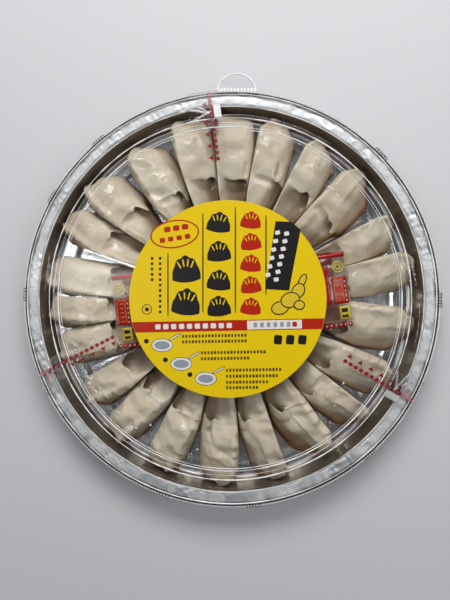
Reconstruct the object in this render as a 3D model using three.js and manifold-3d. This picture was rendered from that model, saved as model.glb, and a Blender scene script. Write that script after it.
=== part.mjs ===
// A shut chilled pack of gyoza: a round foil tray, 22 dumplings laid as spokes with 4 more
// between them, two sachets of sauce, and a clear lid with its label and three tapes.
// Millimetres, +Z up. The origin is the centre of the tray's flat underside, and the lid's
// pull tab is towards +Y. Angles are in degrees, counter-clockwise from +X, seen from above.
import * as THREE from 'three';
import { mergeVertices } from 'three/addons/utils/BufferGeometryUtils.js';
import Module from 'manifold-3d';

const wasm = await Module();
wasm.setup();

// Driving dimensions
const SIDES = 40; // facets round the tray, the lid and the label
const TRAY_WALL = 0.8;
const FLOOR = TRAY_WALL; // height of the tray floor's upper face
const FLOOR_RADIUS = 107;
const SHELF_HEIGHT = 2.4; // a low shelf runs round the floor, against the wall
const RIM_HEIGHT = 20;
const RIM_INNER = 122.6;
const RIM_OUTER = 130.3;

const LID_WALL = 0.7;
const LID_TOP = 29.4; // upper face of the lid's flat top
const BEAD_TOP = 30; // a raised bead runs round the edge of the flat top
const BEAD_INNER = 104.5;
const BEAD_OUTER = 111.6;
const LID_CHANNEL = 18.9; // floor of the groove between the raised top and the rim
const LID_FLANGE = 21;
const SKIRT_RADIUS = 135.3;
const SKIRT_BOTTOM = 11;

const LUG_ANGLES = [43.4, 129.3, 149.8, 178.7, 251.6, 276.9, 312.4, 359.7];
const LUG = { width: 11, depth: 1.7, bottom: 12, top: 17.5 };
const TAB = { angle: 87.7, halfWidth: 13.4, reach: 147.5, thick: 0.7, bead: 1.5 };

const LABEL = { radius: 60.6, thick: 0.3, gap: 0.1 };
const TAPE = { width: 20, thick: 0.25, gap: 0.3 };
const SACHET = { width: 44, length: 54, seal: 5, film: 0.5, fill: 2.3, middle: 25.8 };

const AROUND = 12; // corners of a dumpling's cross-section
const RING_STEPS = 14; // cross-sections along a dumpling of the ring
const CENTRE_STEPS = 9;
const GAP = 0.35; // free space between two dumplings
const BASE = FLOOR + 0.3; // underside of every dumpling
const HALF_WIDTH = 13.2;
const LEAN = 0.8; // how far the back leans over to the seam's side
const LIP = 0.022; // half the run of the step at the hood, as a share of the length
const CREST = 21.8; // usual height of a dumpling's back
const INNER_TIP = 56; // radius at which a ring dumpling's tail begins

const rad = THREE.MathUtils.degToRad;
const { lerp, smoothstep } = THREE.MathUtils;

const looks = {
  foil: { color: 0xb9bcc0, roughness: 0.28, metalness: 1 },
  clearPlastic: { color: 0xe9eef0, roughness: 0.08, metalness: 0, transparent: true, opacity: 0.25 },
  dough: { color: 0xcfc4ae, roughness: 0.5, metalness: 0 },
  label: { color: 0xe8cf12, roughness: 0.45, metalness: 0 },
  tape: { color: 0xc9484a, roughness: 0.2, metalness: 0, transparent: true, opacity: 0.5 },
  sachet: { color: 0x9c2a18, roughness: 0.2, metalness: 0 },
};

const pack = new THREE.Group();

function addPiece(name, geometry, look) {
  const piece = new THREE.Mesh(geometry, new THREE.MeshStandardMaterial(looks[look]));
  piece.name = name;
  pack.add(piece);
  return piece;
}

// A closed mesh with shared corners, from a geometry of three.js.
function welded(geometry) {
  geometry.deleteAttribute('normal');
  geometry.deleteAttribute('uv');
  return mergeVertices(geometry, 1e-4);
}

function toSolid(geometry) {
  const closed = welded(geometry);
  return new wasm.Manifold(new wasm.Mesh({
    numProp: 3,
    vertProperties: Float32Array.from(closed.attributes.position.array),
    triVerts: Uint32Array.from(closed.index.array),
  }));
}

function toGeometry(solid) {
  const mesh = solid.getMesh();
  const geometry = new THREE.BufferGeometry();
  geometry.setAttribute('position', new THREE.BufferAttribute(mesh.vertProperties, 3));
  geometry.setIndex(new THREE.BufferAttribute(mesh.triVerts, 1));
  return geometry;
}

// Sheets of revolution: the tray and the lid

// The other face of a sheet: each corner of the path moves by the wall along its mitre, to the
// right of the path's own direction.
function otherFace(path, wall) {
  return path.map((corner, i) => {
    const before = path[i - 1] ?? corner.clone().multiplyScalar(2).sub(path[i + 1]);
    const after = path[i + 1] ?? corner.clone().multiplyScalar(2).sub(before);
    const into = corner.clone().sub(before).normalize();
    const out = after.clone().sub(corner).normalize();
    const mean = into.clone().add(out).normalize();
    const mitre = wall / mean.dot(out);
    return new THREE.Vector2(corner.x + mean.y * mitre, corner.y - mean.x * mitre);
  });
}

function revolvedSheet(corners, wall) {
  const upper = corners.map(([radius, height]) => new THREE.Vector2(radius, height));
  const lower = otherFace(upper, wall);
  lower[0].x = 0; // both faces begin on the axis
  const outline = [...lower, ...upper.toReversed()];
  return new THREE.LatheGeometry(outline, SIDES).rotateX(Math.PI / 2);
}

// The upper and inner face of the tray, from the middle of the floor to the curled edge.
const TRAY_PATH = [
  [0, FLOOR],
  [FLOOR_RADIUS, FLOOR],
  [FLOOR_RADIUS + 2.4, SHELF_HEIGHT],
  [118.6, SHELF_HEIGHT],
  [121.2, 4.8],
  [RIM_INNER, RIM_HEIGHT - 0.8],
  [RIM_INNER + 0.7, RIM_HEIGHT],
  [RIM_OUTER - 1, RIM_HEIGHT],
  [RIM_OUTER, RIM_HEIGHT - 0.8],
  [RIM_OUTER, RIM_HEIGHT - 2.8],
];

// The upper and outer face of the lid, from the middle of the top to the skirt's lower edge.
const LID_PATH = [
  [0, LID_TOP],
  [BEAD_INNER, LID_TOP],
  [BEAD_INNER + 1.8, BEAD_TOP],
  [BEAD_OUTER - 1, BEAD_TOP],
  [BEAD_OUTER, BEAD_TOP - 0.7],
  [BEAD_OUTER + 4.2, LID_CHANNEL + 0.7],
  [BEAD_OUTER + 5.3, LID_CHANNEL],
  [RIM_INNER - 2.3, LID_CHANNEL],
  [RIM_INNER - 1, LID_FLANGE],
  [RIM_OUTER + 0.9, LID_FLANGE],
  [RIM_OUTER + 1.9, LID_FLANGE - 0.9],
  [RIM_OUTER + 2.7, 15.6],
  [SKIRT_RADIUS, 13.4],
  [SKIRT_RADIUS, SKIRT_BOTTOM],
];

// A snap lug: a low swelling of the skirt, wedge-sided as seen from above.
function lug(angle) {
  const inner = SKIRT_RADIUS - 1.6;
  const outer = SKIRT_RADIUS + LUG.depth;
  const outline = new THREE.Shape([
    new THREE.Vector2(inner, -LUG.width / 2 - 1),
    new THREE.Vector2(outer, -LUG.width / 2 + 1),
    new THREE.Vector2(outer, LUG.width / 2 - 1),
    new THREE.Vector2(inner, LUG.width / 2 + 1),
  ]);
  const body = new THREE.ExtrudeGeometry(outline, { depth: LUG.top - LUG.bottom, bevelEnabled: false });
  return body.translate(0, 0, LUG.bottom).rotateZ(rad(angle));
}

// The pull tab: a half disc that stands out level from the skirt's lower edge, and the
// thicker bead that runs round it.
function tabPlate() {
  const root = SKIRT_RADIUS - 2.4;
  const swell = TAB.reach - TAB.halfWidth; // centre of the tab's round end
  const outline = new THREE.Shape();
  outline.moveTo(root, -TAB.halfWidth);
  outline.lineTo(swell, -TAB.halfWidth);
  outline.absarc(swell, 0, TAB.halfWidth, -Math.PI / 2, Math.PI / 2, false);
  outline.lineTo(root, TAB.halfWidth);
  const plate = new THREE.ExtrudeGeometry(outline, { depth: TAB.thick, bevelEnabled: false, curveSegments: 14 });
  return plate.translate(0, 0, SKIRT_BOTTOM).rotateZ(rad(TAB.angle));
}

function tabBead() {
  const swell = TAB.reach - TAB.halfWidth;
  const inner = TAB.halfWidth - TAB.bead;
  const outline = new THREE.Shape();
  outline.absarc(swell, 0, TAB.halfWidth, -1.45, 1.45, false);
  outline.absarc(swell, 0, inner, 1.45, -1.45, true);
  const bead = new THREE.ExtrudeGeometry(outline, { depth: TAB.bead, bevelEnabled: false, curveSegments: 14 });
  return bead.translate(0, 0, SKIRT_BOTTOM).rotateZ(rad(TAB.angle));
}

function lid() {
  let body = toSolid(revolvedSheet(LID_PATH, LID_WALL));
  for (const angle of LUG_ANGLES) body = body.add(toSolid(lug(angle)));
  return toGeometry(body.add(toSolid(tabPlate())).add(toSolid(tabBead())));
}

// Grids that close on themselves: dumplings, sachets and tapes

// A closed body from rows of corners, where each row is a closed loop of the same count.
function loftedBody(rows) {
  const count = rows[0].length;
  const corners = rows.flat().flatMap((corner) => corner.toArray());
  const faces = [];
  for (let i = 0; i + 1 < rows.length; i += 1) {
    for (let j = 0; j < count; j += 1) {
      const here = i * count + j;
      const beside = i * count + ((j + 1) % count);
      faces.push(here, beside, beside + count, here, beside + count, here + count);
    }
  }
  const last = (rows.length - 1) * count;
  for (let j = 1; j + 1 < count; j += 1) {
    faces.push(0, j + 1, j, last, last + j, last + j + 1);
  }
  const geometry = new THREE.BufferGeometry();
  geometry.setAttribute('position', new THREE.BufferAttribute(Float32Array.from(corners), 3));
  geometry.setIndex(faces);
  return geometry;
}

// The cross-section of a flat thing as a loop: along its lower face and back along its upper.
function flatLoop(count, lowerPoint, upperPoint) {
  const steps = Array.from({ length: count }, (_, k) => k / (count - 1));
  return [...steps.map(lowerPoint), ...steps.toReversed().map(upperPoint)];
}

// Dumplings. Each lies along +X of its own frame with its tail towards the pack's middle. Its
// seam is folded over to the counter-clockwise side, +Y, as a ridge that runs the whole length.
// Near the tail the back ends in an open hood, and below it the tail is low.

const power = (value, exponent) => Math.sign(value) * Math.abs(value) ** exponent;
const hump = (angle, middle, spread) => Math.exp(-(((angle - middle) / spread) ** 2));

// Height of the underside: level on the floor, up over the shelf, and lifted at the wall.
function soleHeight(x) {
  return BASE + 2.1 * smoothstep(x, FLOOR_RADIUS - 5.5, FLOOR_RADIUS - 0.5) + 3 * smoothstep(x, 112, 120);
}

function dumpling(shape) {
  const { tail, reach, hood, room, crest, skirt = 0, pleat = 1, phase = 0, steps = RING_STEPS } = shape;
  const sole = shape.sole ?? soleHeight;
  const length = reach - tail;
  const mouth = (hood - tail) / length;

  const section = (t) => {
    const x = tail + length * t;
    const behind = smoothstep(t, mouth - LIP, mouth + LIP); // 0 on the tail, 1 behind the hood
    const back = Math.max(t - mouth, 0) / (1 - mouth);
    const plan = lerp(0.5, 1, smoothstep(t, 0, 0.34)) * lerp(1, 0.6, smoothstep(t, 0.78, 1));
    const half = HALF_WIDTH * plan;
    const bottom = sole(x);
    const tailTop = lerp(6.5, 11, smoothstep(t, 0, mouth));
    const backTop = crest - 2.2 * (1 - smoothstep(t, mouth, 0.6)) - (crest - 12.2) * back ** 3.2;
    const top = lerp(tailTop, backTop, behind);
    const tailRidge = lerp(9.5, crest - 1.6, smoothstep(t, -0.05, mouth));
    const ridgeTop = lerp(tailRidge, backTop + 0.7, behind);
    const middle = lerp(bottom, top, 0.4);
    const fade = smoothstep(t, mouth, mouth + 0.12) * (1 - smoothstep(t, 0.88, 1));
    const wave = Math.sin(2 * Math.PI * 3.2 * back + phase) * fade;
    const dent = Math.sin(2 * Math.PI * 4.1 * back + 1.7 * phase) * fade;
    const lip = hump(t, mouth + LIP, 2 * LIP); // strongest on the hood's edge
    const flapRun = smoothstep(t, 0.3, 0.5) * (1 - smoothstep(t, 0.75, 0.95));

    return Array.from({ length: AROUND }, (_, k) => {
      const degrees = -90 + (k + 0.5) * (360 / AROUND);
      const up = Math.sin(rad(degrees));
      const high = Math.max(up, 0);
      const ridge = hump(degrees, 58, 26);
      let y = half * power(Math.cos(rad(degrees)), 0.7) + LEAN * high * behind;
      let z = up > 0 ? middle + (top - middle) * up ** 0.8 : middle - (middle - bottom) * (-up) ** 0.35;
      z += Math.max(ridgeTop - top, 0) * ridge * 1.15;
      y += pleat * wave * high - 0.6 * pleat * dent * hump(degrees, 20, 30);
      z += 0.7 * pleat * dent * hump(degrees, 115, 32);
      y -= skirt * hump(degrees, 195, 26) * flapRun;
      const edge = lip * (1.6 * hump(degrees, 98, 18) - 2.4 * ridge - 1.8 * hump(degrees, 135, 22));
      const spot = x + edge + 1.2 * ridge * smoothstep(t, 0.9, 1);
      const [clockwise, counter] = room(spot);
      return new THREE.Vector3(spot, THREE.MathUtils.clamp(y, -clockwise, counter), z);
    });
  };
  const stops = [0, 0.42 * mouth, mouth - LIP];
  const rest = steps - stops.length;
  for (let k = 0; k < rest; k += 1) stops.push(lerp(mouth + LIP, 1, k / (rest - 1)));
  return loftedBody(stops.map(section));
}

// The ring, counter-clockwise: the angle of each dumpling's axis, the angle at which its sector
// ends, the radii of its outer end and of its hood, the width of a low flap on its clockwise
// side, and the depth of its pleats.
const RING = [
  [9.0, 15.6, 119.4, 75.0, 0, 1.0],
  [22.7, 28.8, 114.5, 75.0, 0, 1.2],
  [40.9, 48.5, 117.5, 82.6, 4, 0.6],
  [56.8, 63.3, 116.5, 81.5, 0, 0.6],
  [72.7, 79.8, 119.2, 82.9, 0, 0.5],
  [87.8, 94.9, 118.5, 76.0, 0, 0.6],
  [102.9, 110.1, 119.2, 77.6, 0, 0.6],
  [120.1, 129.0, 115.5, 75.3, 4, 0.8],
  [140.5, 147.0, 118.5, 83.5, 5, 0.6],
  [155.3, 160.9, 119.4, 86.0, 0, 0.7],
  [172.1, 178.9, 119.4, 76.0, 0, 0.8],
  [184.4, 190.7, 118.5, 76.0, 0, 1.2],
  [197.6, 208.6, 116.5, 76.0, 0, 1.2],
  [215.9, 222.9, 114.0, 79.0, 0, 1.6],
  [232.1, 241.6, 118.0, 76.8, 0, 1.6],
  [249.2, 257.7, 119.2, 76.7, 0, 2.0],
  [266.2, 274.6, 119.4, 80.4, 0, 1.8],
  [283.1, 289.4, 119.4, 78.3, 0, 1.8],
  [299.4, 308.0, 115.5, 78.7, 3, 2.0],
  [315.7, 322.2, 115.0, 80.9, 0, 1.8],
  [330.8, 339.2, 116.0, 75.4, 0, 1.6],
  [349.9, 360.5, 118.5, 75.0, 4, 1.4],
];

function addRing() {
  RING.forEach(([axis, end, reach, hood, skirt, pleat], i) => {
    const start = i === 0 ? RING.at(-1)[1] - 360 : RING[i - 1][1];
    const room = (x) => [
      x * Math.tan(rad(axis - start)) - GAP / 2,
      x * Math.tan(rad(end - axis)) - GAP / 2,
    ];
    const tail = INNER_TIP + 1.4 * Math.sin(1.7 * i + 1);
    const crest = CREST + 0.8 * Math.sin(2.3 * i);
    const body = dumpling({ tail, reach, hood, room, crest, skirt, pleat, phase: 1.9 * i });
    addPiece(`gyoza_${String(i + 1).padStart(2, '0')}`, body, 'dough').rotation.z = rad(axis);
  });
}

// The four in the middle lie side by side, as long as the ring leaves room for.
function addCentre() {
  const pitch = 22.4;
  const room = () => [pitch / 2 - GAP / 2, pitch / 2 - GAP / 2];
  [-1.5, -0.5, 0.5, 1.5].forEach((place, i) => {
    const half = Math.abs(place) > 1 ? 28.5 : 31.5;
    const body = dumpling({
      tail: -half,
      reach: half,
      hood: -half + 20,
      room,
      crest: CREST - 0.6 - 0.4 * i,
      pleat: 1.2,
      phase: 2.2 * i,
      steps: CENTRE_STEPS,
      sole: () => BASE,
    });
    const piece = addPiece(`gyoza_${RING.length + 1 + i}`, body, 'dough');
    piece.rotation.z = rad(90);
    piece.position.x = place * pitch;
  });
}

// A sachet is a pillow of sauce with a flat sealed edge.
function sachet(name, x, y, turn) {
  const cells = 7;
  const row = (s) => {
    const across = lerp(-SACHET.width / 2, SACHET.width / 2, s);
    const puff = (along) => {
      const inX = 1 - smoothstep(Math.abs(across), SACHET.width / 2 - 3 * SACHET.seal, SACHET.width / 2 - SACHET.seal);
      const inY = 1 - smoothstep(Math.abs(along), SACHET.length / 2 - 3 * SACHET.seal, SACHET.length / 2 - SACHET.seal);
      return SACHET.film / 2 + SACHET.fill * inX * inY;
    };
    const point = (side) => (k) => {
      const along = lerp(-SACHET.length / 2, SACHET.length / 2, k);
      return new THREE.Vector3(across, along, SACHET.middle + side * puff(along));
    };
    return flatLoop(cells + 1, point(-1), point(1));
  };
  const rows = Array.from({ length: cells + 1 }, (_, k) => row(k / cells));
  const piece = addPiece(name, loftedBody(rows), 'sachet');
  piece.position.set(x, y, 0);
  piece.rotation.z = rad(turn);
}

// The tape's own path over the lid, as radius and height of its lower face: flat on the top and
// the bead, straight across the groove, then over the flange and down the skirt.
const TAPE_PATH = [
  [BEAD_INNER, LID_TOP],
  [BEAD_INNER + 1.8, BEAD_TOP],
  [BEAD_OUTER - 0.5, BEAD_TOP],
  [RIM_INNER + 1.4, LID_FLANGE],
  [RIM_OUTER + 1.1, LID_FLANGE],
  [RIM_OUTER + 2.4, LID_FLANGE - 1.2],
  [RIM_OUTER + 3.2, 15.6],
  [SKIRT_RADIUS + 0.5, 13.2],
];

// A tape is a straight strip as seen from above. It starts at a radius and an angle, and runs
// in its own direction, so a corner lies where the strip's line at that offset meets a radius.
function tape(name, startRadius, startAngle, direction) {
  const heading = new THREE.Vector2(Math.cos(rad(direction)), Math.sin(rad(direction)));
  const side = new THREE.Vector2(-heading.y, heading.x);
  const start = new THREE.Vector2(startRadius, 0).rotateAround(new THREE.Vector2(), rad(startAngle));
  const onRadius = (offset, radius) => {
    const origin = start.clone().addScaledVector(side, offset);
    const along = origin.dot(heading);
    const run = -along + Math.sqrt(along ** 2 - origin.lengthSq() + radius ** 2);
    return origin.addScaledVector(heading, run);
  };
  const rows = [[startRadius, LID_TOP], ...TAPE_PATH].map(([radius, height]) => {
    const point = (lift) => (k) => {
      const steepness = smoothstep(radius, RIM_OUTER + 1, RIM_OUTER + 2.4);
      const spot = onRadius(lerp(-TAPE.width / 2, TAPE.width / 2, k), radius + lift * steepness);
      return new THREE.Vector3(spot.x, spot.y, height + lift * (1 - 0.6 * steepness));
    };
    return flatLoop(4, point(TAPE.gap), point(TAPE.gap + TAPE.thick));
  });
  addPiece(name, loftedBody(rows), 'tape');
}

function label() {
  const disc = new THREE.CylinderGeometry(LABEL.radius, LABEL.radius, LABEL.thick, SIDES);
  return disc.rotateX(Math.PI / 2).translate(0, 0, LID_TOP + LABEL.gap + LABEL.thick / 2);
}

addPiece('tray', revolvedSheet(TRAY_PATH, TRAY_WALL), 'foil');
addRing();
addCentre();
sachet('sachet_left', -50.4, -4, 6);
sachet('sachet_right', 53.9, 6, 8);
addPiece('lid', lid(), 'clearPlastic');
addPiece('label', label(), 'label');
tape('tape_back', 84.9, 96.2, 98.3);
tape('tape_left', 73.3, 201.5, 206.8);
tape('tape_right', 80.2, 335.2, 329.2);

export default pack;
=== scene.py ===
"""The visual model of a shut chilled pack of gyoza, laid over its CAD frame.

A round foil tray holds 22 dumplings laid as spokes and 4 between them, with two sachets of sauce on top,
under a clear lid with a printed label and three strips of tape. Shapes are worked out in millimetres in
the frame's own axes: +Z up, +Y towards the lid's pull tab, angles counter-clockwise from +X.
"""

import logging
import math
from collections.abc import Callable, Sequence
from dataclasses import dataclass, field
from enum import Enum

import bpy
import numpy as np
from mathutils import Matrix, Vector


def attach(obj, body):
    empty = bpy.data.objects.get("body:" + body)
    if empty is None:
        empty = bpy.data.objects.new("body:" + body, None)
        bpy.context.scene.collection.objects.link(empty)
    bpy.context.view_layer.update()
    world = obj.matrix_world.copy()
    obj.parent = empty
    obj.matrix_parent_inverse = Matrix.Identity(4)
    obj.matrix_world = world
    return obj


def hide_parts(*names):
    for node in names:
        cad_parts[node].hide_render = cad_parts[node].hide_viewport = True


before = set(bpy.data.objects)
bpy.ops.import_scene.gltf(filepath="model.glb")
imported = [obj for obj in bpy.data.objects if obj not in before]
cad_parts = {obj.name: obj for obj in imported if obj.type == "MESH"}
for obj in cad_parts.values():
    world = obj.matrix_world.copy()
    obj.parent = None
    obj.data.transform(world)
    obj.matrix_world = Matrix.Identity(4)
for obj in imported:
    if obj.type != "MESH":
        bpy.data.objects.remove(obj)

log = logging.getLogger("gyoza_pack")

MM = 0.001
TURN = 2 * math.pi


class Slot(Enum):
    """The material slots of the record."""

    FOIL = "foil"
    CLEAR = "clear_plastic"
    DOUGH = "dough"
    LABEL = "label_paper"
    TAPE = "clear_tape"
    SACHET = "sachet_film"


# Numbers and curves


def ramp(value: np.ndarray | float, low: float, high: float) -> np.ndarray | float:
    """Smooth step: 0 below low, 1 above high, and 3s^2 - 2s^3 between them.

    Args:
        value: Where the step is read.
        low: Where it starts.
        high: Where it ends.

    Returns:
        The step's height, between 0 and 1.
    """
    share = np.clip((np.asarray(value, float) - low) / (high - low), 0.0, 1.0)
    return share * share * (3 - 2 * share)


def hump(value: np.ndarray, middle: float, spread: float) -> np.ndarray:
    """A bell of height 1: exp(-((value - middle) / spread)^2)."""
    return np.exp(-(((value - middle) / spread) ** 2))


def mix(first: np.ndarray | float, second: np.ndarray | float, share: np.ndarray | float) -> np.ndarray:
    """A straight blend: first at share 0 and second at share 1."""
    return first + (second - first) * share


def signed_power(value: np.ndarray, exponent: float) -> np.ndarray:
    """A power that keeps the value's sign, which squares off a circle for exponents below 1."""
    return np.sign(value) * np.abs(value) ** exponent


def ripple(points: np.ndarray, wavelength: float, seed: int) -> np.ndarray:
    """Smooth uneven height of about -1 to 1: the sum of eight sine waves in space.

    Each wave has its own direction, a length near the given one, and a phase, all from the seed.

    Args:
        points: Places in millimetres, with x, y, z in the last axis.
        wavelength: Usual distance from one swelling to the next.
        seed: Picks the set of waves.

    Returns:
        One height for each place.
    """
    waves = 8
    random = np.random.default_rng(seed)
    directions = random.normal(size=(3, waves))
    directions /= np.linalg.norm(directions, axis=0)
    lengths = wavelength * random.uniform(0.7, 1.5, waves)
    phases = random.uniform(0, TURN, waves)
    return np.sin(points @ (directions * TURN / lengths) + phases).sum(-1) / 2.6


def rounded(corners: Sequence[tuple[float, float]], times: int = 2) -> np.ndarray:
    """Rounds a path of corners by cutting each corner at a quarter of its sides, a few times over.

    Args:
        corners: The path's corners.
        times: How often the corners are cut.

    Returns:
        The rounded path, with its two ends kept.
    """
    path = np.array(corners, float)
    for _ in range(times):
        early, late = mix(path[:-1], path[1:], 0.25), mix(path[:-1], path[1:], 0.75)
        cut = np.stack([early, late], 1).reshape(-1, 2)
        path = np.vstack([path[:1], cut[1:-1], path[-1:]])
    return path


def other_face(path: np.ndarray, wall: float | np.ndarray) -> np.ndarray:
    """The far face of a sheet: each point of the path moved by the wall to the right of its direction."""
    way = np.gradient(path, axis=0)
    way /= np.linalg.norm(way, axis=1, keepdims=True)
    return path + np.stack([way[:, 1], -way[:, 0]], 1) * np.reshape(wall, (-1, 1))


# Surfaces and pieces


@dataclass
class Surface:
    """A closed surface: points in millimetres, faces as point numbers, and one value at each point."""

    points: np.ndarray
    quads: np.ndarray
    triangles: np.ndarray
    shade: np.ndarray

    def __post_init__(self) -> None:
        """Turns the faces outwards: the volume under them, summed from the origin, has to be positive."""
        p = self.points
        corners = [self.triangles, self.quads[:, [0, 1, 2]], self.quads[:, [0, 2, 3]]]
        a, b, c = (p[np.vstack(corners)[:, k]] for k in range(3))
        if np.einsum("ij,ij->i", a, np.cross(b, c)).sum() < 0:
            self.quads = self.quads[:, ::-1]
            self.triangles = self.triangles[:, ::-1]


def closed_grid(points: np.ndarray, ring: bool = False, shade: np.ndarray | None = None) -> Surface:
    """A closed surface from rows of points, where each row closes on itself.

    Args:
        points: Array of rows, columns and x, y, z.
        ring: True where the last row also meets the first, as on a sheet of revolution. Otherwise a fan
            closes each end.
        shade: One value for each point, 0 where it is left out.

    Returns:
        The surface, with its faces outwards.
    """
    rows, columns = points.shape[:2]
    values = np.zeros((rows, columns)) if shade is None else shade
    i, j = np.meshgrid(np.arange(rows if ring else rows - 1), np.arange(columns), indexing="ij")
    below, beside = (i + 1) % rows, (j + 1) % columns
    corners = [i * columns + j, below * columns + j, below * columns + beside, i * columns + beside]
    quads = np.stack(corners, -1)
    flat, values = points.reshape(-1, 3), values.reshape(-1)
    triangles = np.zeros((0, 3), int)
    if not ring:
        first, last = np.arange(columns), np.arange(columns) + (rows - 1) * columns
        middle = len(flat)
        triangles = np.vstack(
            [
                np.stack([np.full(columns, middle), first, np.roll(first, -1)], 1),
                np.stack([np.full(columns, middle + 1), np.roll(last, -1), last], 1),
            ]
        )
        flat = np.vstack([flat, points[0].mean(0), points[-1].mean(0)])
        values = np.append(values, [values[:columns].mean(), values[-columns:].mean()])
    return Surface(flat, quads.reshape(-1, 4), triangles, values)


def plate(outline: np.ndarray, bottom: float, top: float) -> Surface:
    """A flat plate with upright edges over an outline that its own middle can see whole.

    Args:
        outline: Points x, y round the edge.
        bottom: Height of the lower face.
        top: Height of the upper face.

    Returns:
        The plate's surface.
    """
    levels = [np.column_stack([outline, np.full(len(outline), z)]) for z in (bottom, top)]
    return closed_grid(np.array(levels))


def revolved(path: np.ndarray, angles: np.ndarray) -> np.ndarray:
    """Turns a path of radius and height round the axis.

    Args:
        path: Points of radius and height, one row each, or one such path for each angle in a third axis.
        angles: Angles in radians.

    Returns:
        Array of rows, angles and x, y, z.
    """
    radius, height = (path[:, :1], path[:, 1:2]) if path.ndim == 2 else (path[..., 0], path[..., 1])
    flat = np.broadcast_to(height, (len(path), len(angles)))
    return np.stack([radius * np.cos(angles), radius * np.sin(angles), flat], -1)


def make_piece(
    name: str,
    surfaces: Sequence[Surface],
    material: bpy.types.Material,
    replaces: Sequence[str] = (),
    smooth: bool = True,
) -> bpy.types.Object:
    """Makes one object of some closed surfaces, riding on the frame's only body.

    Args:
        name: The piece's name.
        surfaces: Its closed surfaces.
        material: Its finish.
        replaces: CAD nodes that the piece stands for.
        smooth: False for flat plates with sharp edges.

    Returns:
        The new object.
    """
    starts = np.cumsum([0] + [len(s.points) for s in surfaces])
    quads = np.vstack([s.quads + start for s, start in zip(surfaces, starts)])
    triangles = np.vstack([s.triangles + start for s, start in zip(surfaces, starts)])
    points = np.vstack([s.points for s in surfaces])
    mesh = bpy.data.meshes.new(name)
    mesh.from_pydata(points * MM, [], quads.tolist() + triangles.tolist())
    mesh.polygons.foreach_set("use_smooth", np.full(len(mesh.polygons), smooth))
    shade = mesh.attributes.new("shade", "FLOAT", "POINT")
    shade.data.foreach_set("value", np.concatenate([s.shade for s in surfaces]).astype(np.float32))
    mesh.materials.append(material)
    mesh.update()
    piece = bpy.data.objects.new(name, mesh)
    bpy.context.scene.collection.objects.link(piece)
    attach(piece, "root")
    if replaces:
        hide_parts(*replaces)
    log.info("%s: %d points, %d faces", name, len(points), len(quads) + len(triangles))
    return piece


# Finishes

Colour = tuple[float, float, float]


def linear(red: int, green: int, blue: int) -> Colour:
    """A screen colour of 0 to 255 as linear light, by the usual curve with its power of 2.4."""
    share = (np.array([red, green, blue]) / 255 + 0.055) / 1.055
    return tuple(float(v) for v in share**2.4)


class Nodes:
    """Builds one material's nodes, linked as they are made."""

    def __init__(self, name: str) -> None:
        """Starts an empty material with its output."""
        self.material = bpy.data.materials.new(name)
        self.material.use_nodes = True
        self.tree = self.material.node_tree
        self.tree.nodes.clear()
        self.output = self.tree.nodes.new("ShaderNodeOutputMaterial")

    def add(
        self, kind: str, inputs: dict[str | int, object] | None = None, **settings: object
    ) -> bpy.types.Node:
        """Adds a node, sets its own settings, and fills or links its inputs.

        Args:
            kind: The node's type after "ShaderNode".
            inputs: Values, or sockets to link, by input name or number.
            settings: The node's own properties.

        Returns:
            The node.
        """
        node = self.tree.nodes.new("ShaderNode" + kind)
        for key, value in settings.items():
            setattr(node, key, value)
        for key, value in (inputs or {}).items():
            if isinstance(value, bpy.types.NodeSocket):
                self.tree.links.new(value, node.inputs[key])
            elif isinstance(value, tuple) and len(value) == 3 and node.inputs[key].type == "RGBA":
                node.inputs[key].default_value = (*value, 1.0)
            else:
                node.inputs[key].default_value = value
        return node

    def shade(self) -> bpy.types.NodeSocket:
        """The value held at the surface's points; its socket."""
        return self.add("Attribute", attribute_name="shade").outputs["Fac"]

    def noise(self, scale: float, detail: float = 2.0) -> bpy.types.NodeSocket:
        """Noise on the object's own coordinates; its value's socket."""
        place = self.add("TexCoord").outputs["Object"]
        return self.add("TexNoise", {"Vector": place, "Scale": scale, "Detail": detail}).outputs["Fac"]

    def sums(self, kind: str, *values: object, clamp: bool = False) -> bpy.types.NodeSocket:
        """One sum of the given kind on some values or sockets; the result's socket."""
        inputs = dict(enumerate(values))
        return self.add("Math", inputs, operation=kind, use_clamp=clamp).outputs[0]

    def blend(self, share: bpy.types.NodeSocket, first: object, second: object) -> bpy.types.NodeSocket:
        """A colour between two others; the socket of the result."""
        node = self.add("Mix", {0: share, 6: first, 7: second}, data_type="RGBA")
        return node.outputs[2]

    def spread(
        self, value: bpy.types.NodeSocket, low: float, high: float, first: float = 0.0, second: float = 1.0
    ) -> bpy.types.NodeSocket:
        """Stretches a value from low..high to first..second, held at the ends; the result's socket."""
        inputs = {0: value, 1: low, 2: high, 3: first, 4: second}
        return self.add("MapRange", inputs).outputs["Result"]

    def bump(
        self, height: bpy.types.NodeSocket, distance: float, strength: float
    ) -> bpy.types.NodeSocket:
        """A bump of the given depth in metres; its normal's socket."""
        inputs = {"Height": height, "Distance": distance, "Strength": strength}
        return self.add("Bump", inputs).outputs["Normal"]

    def finish(self, shader: bpy.types.Node) -> bpy.types.Material:
        """Links the shader to the output and returns the material."""
        self.tree.links.new(shader.outputs[0], self.output.inputs["Surface"])
        return self.material


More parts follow.
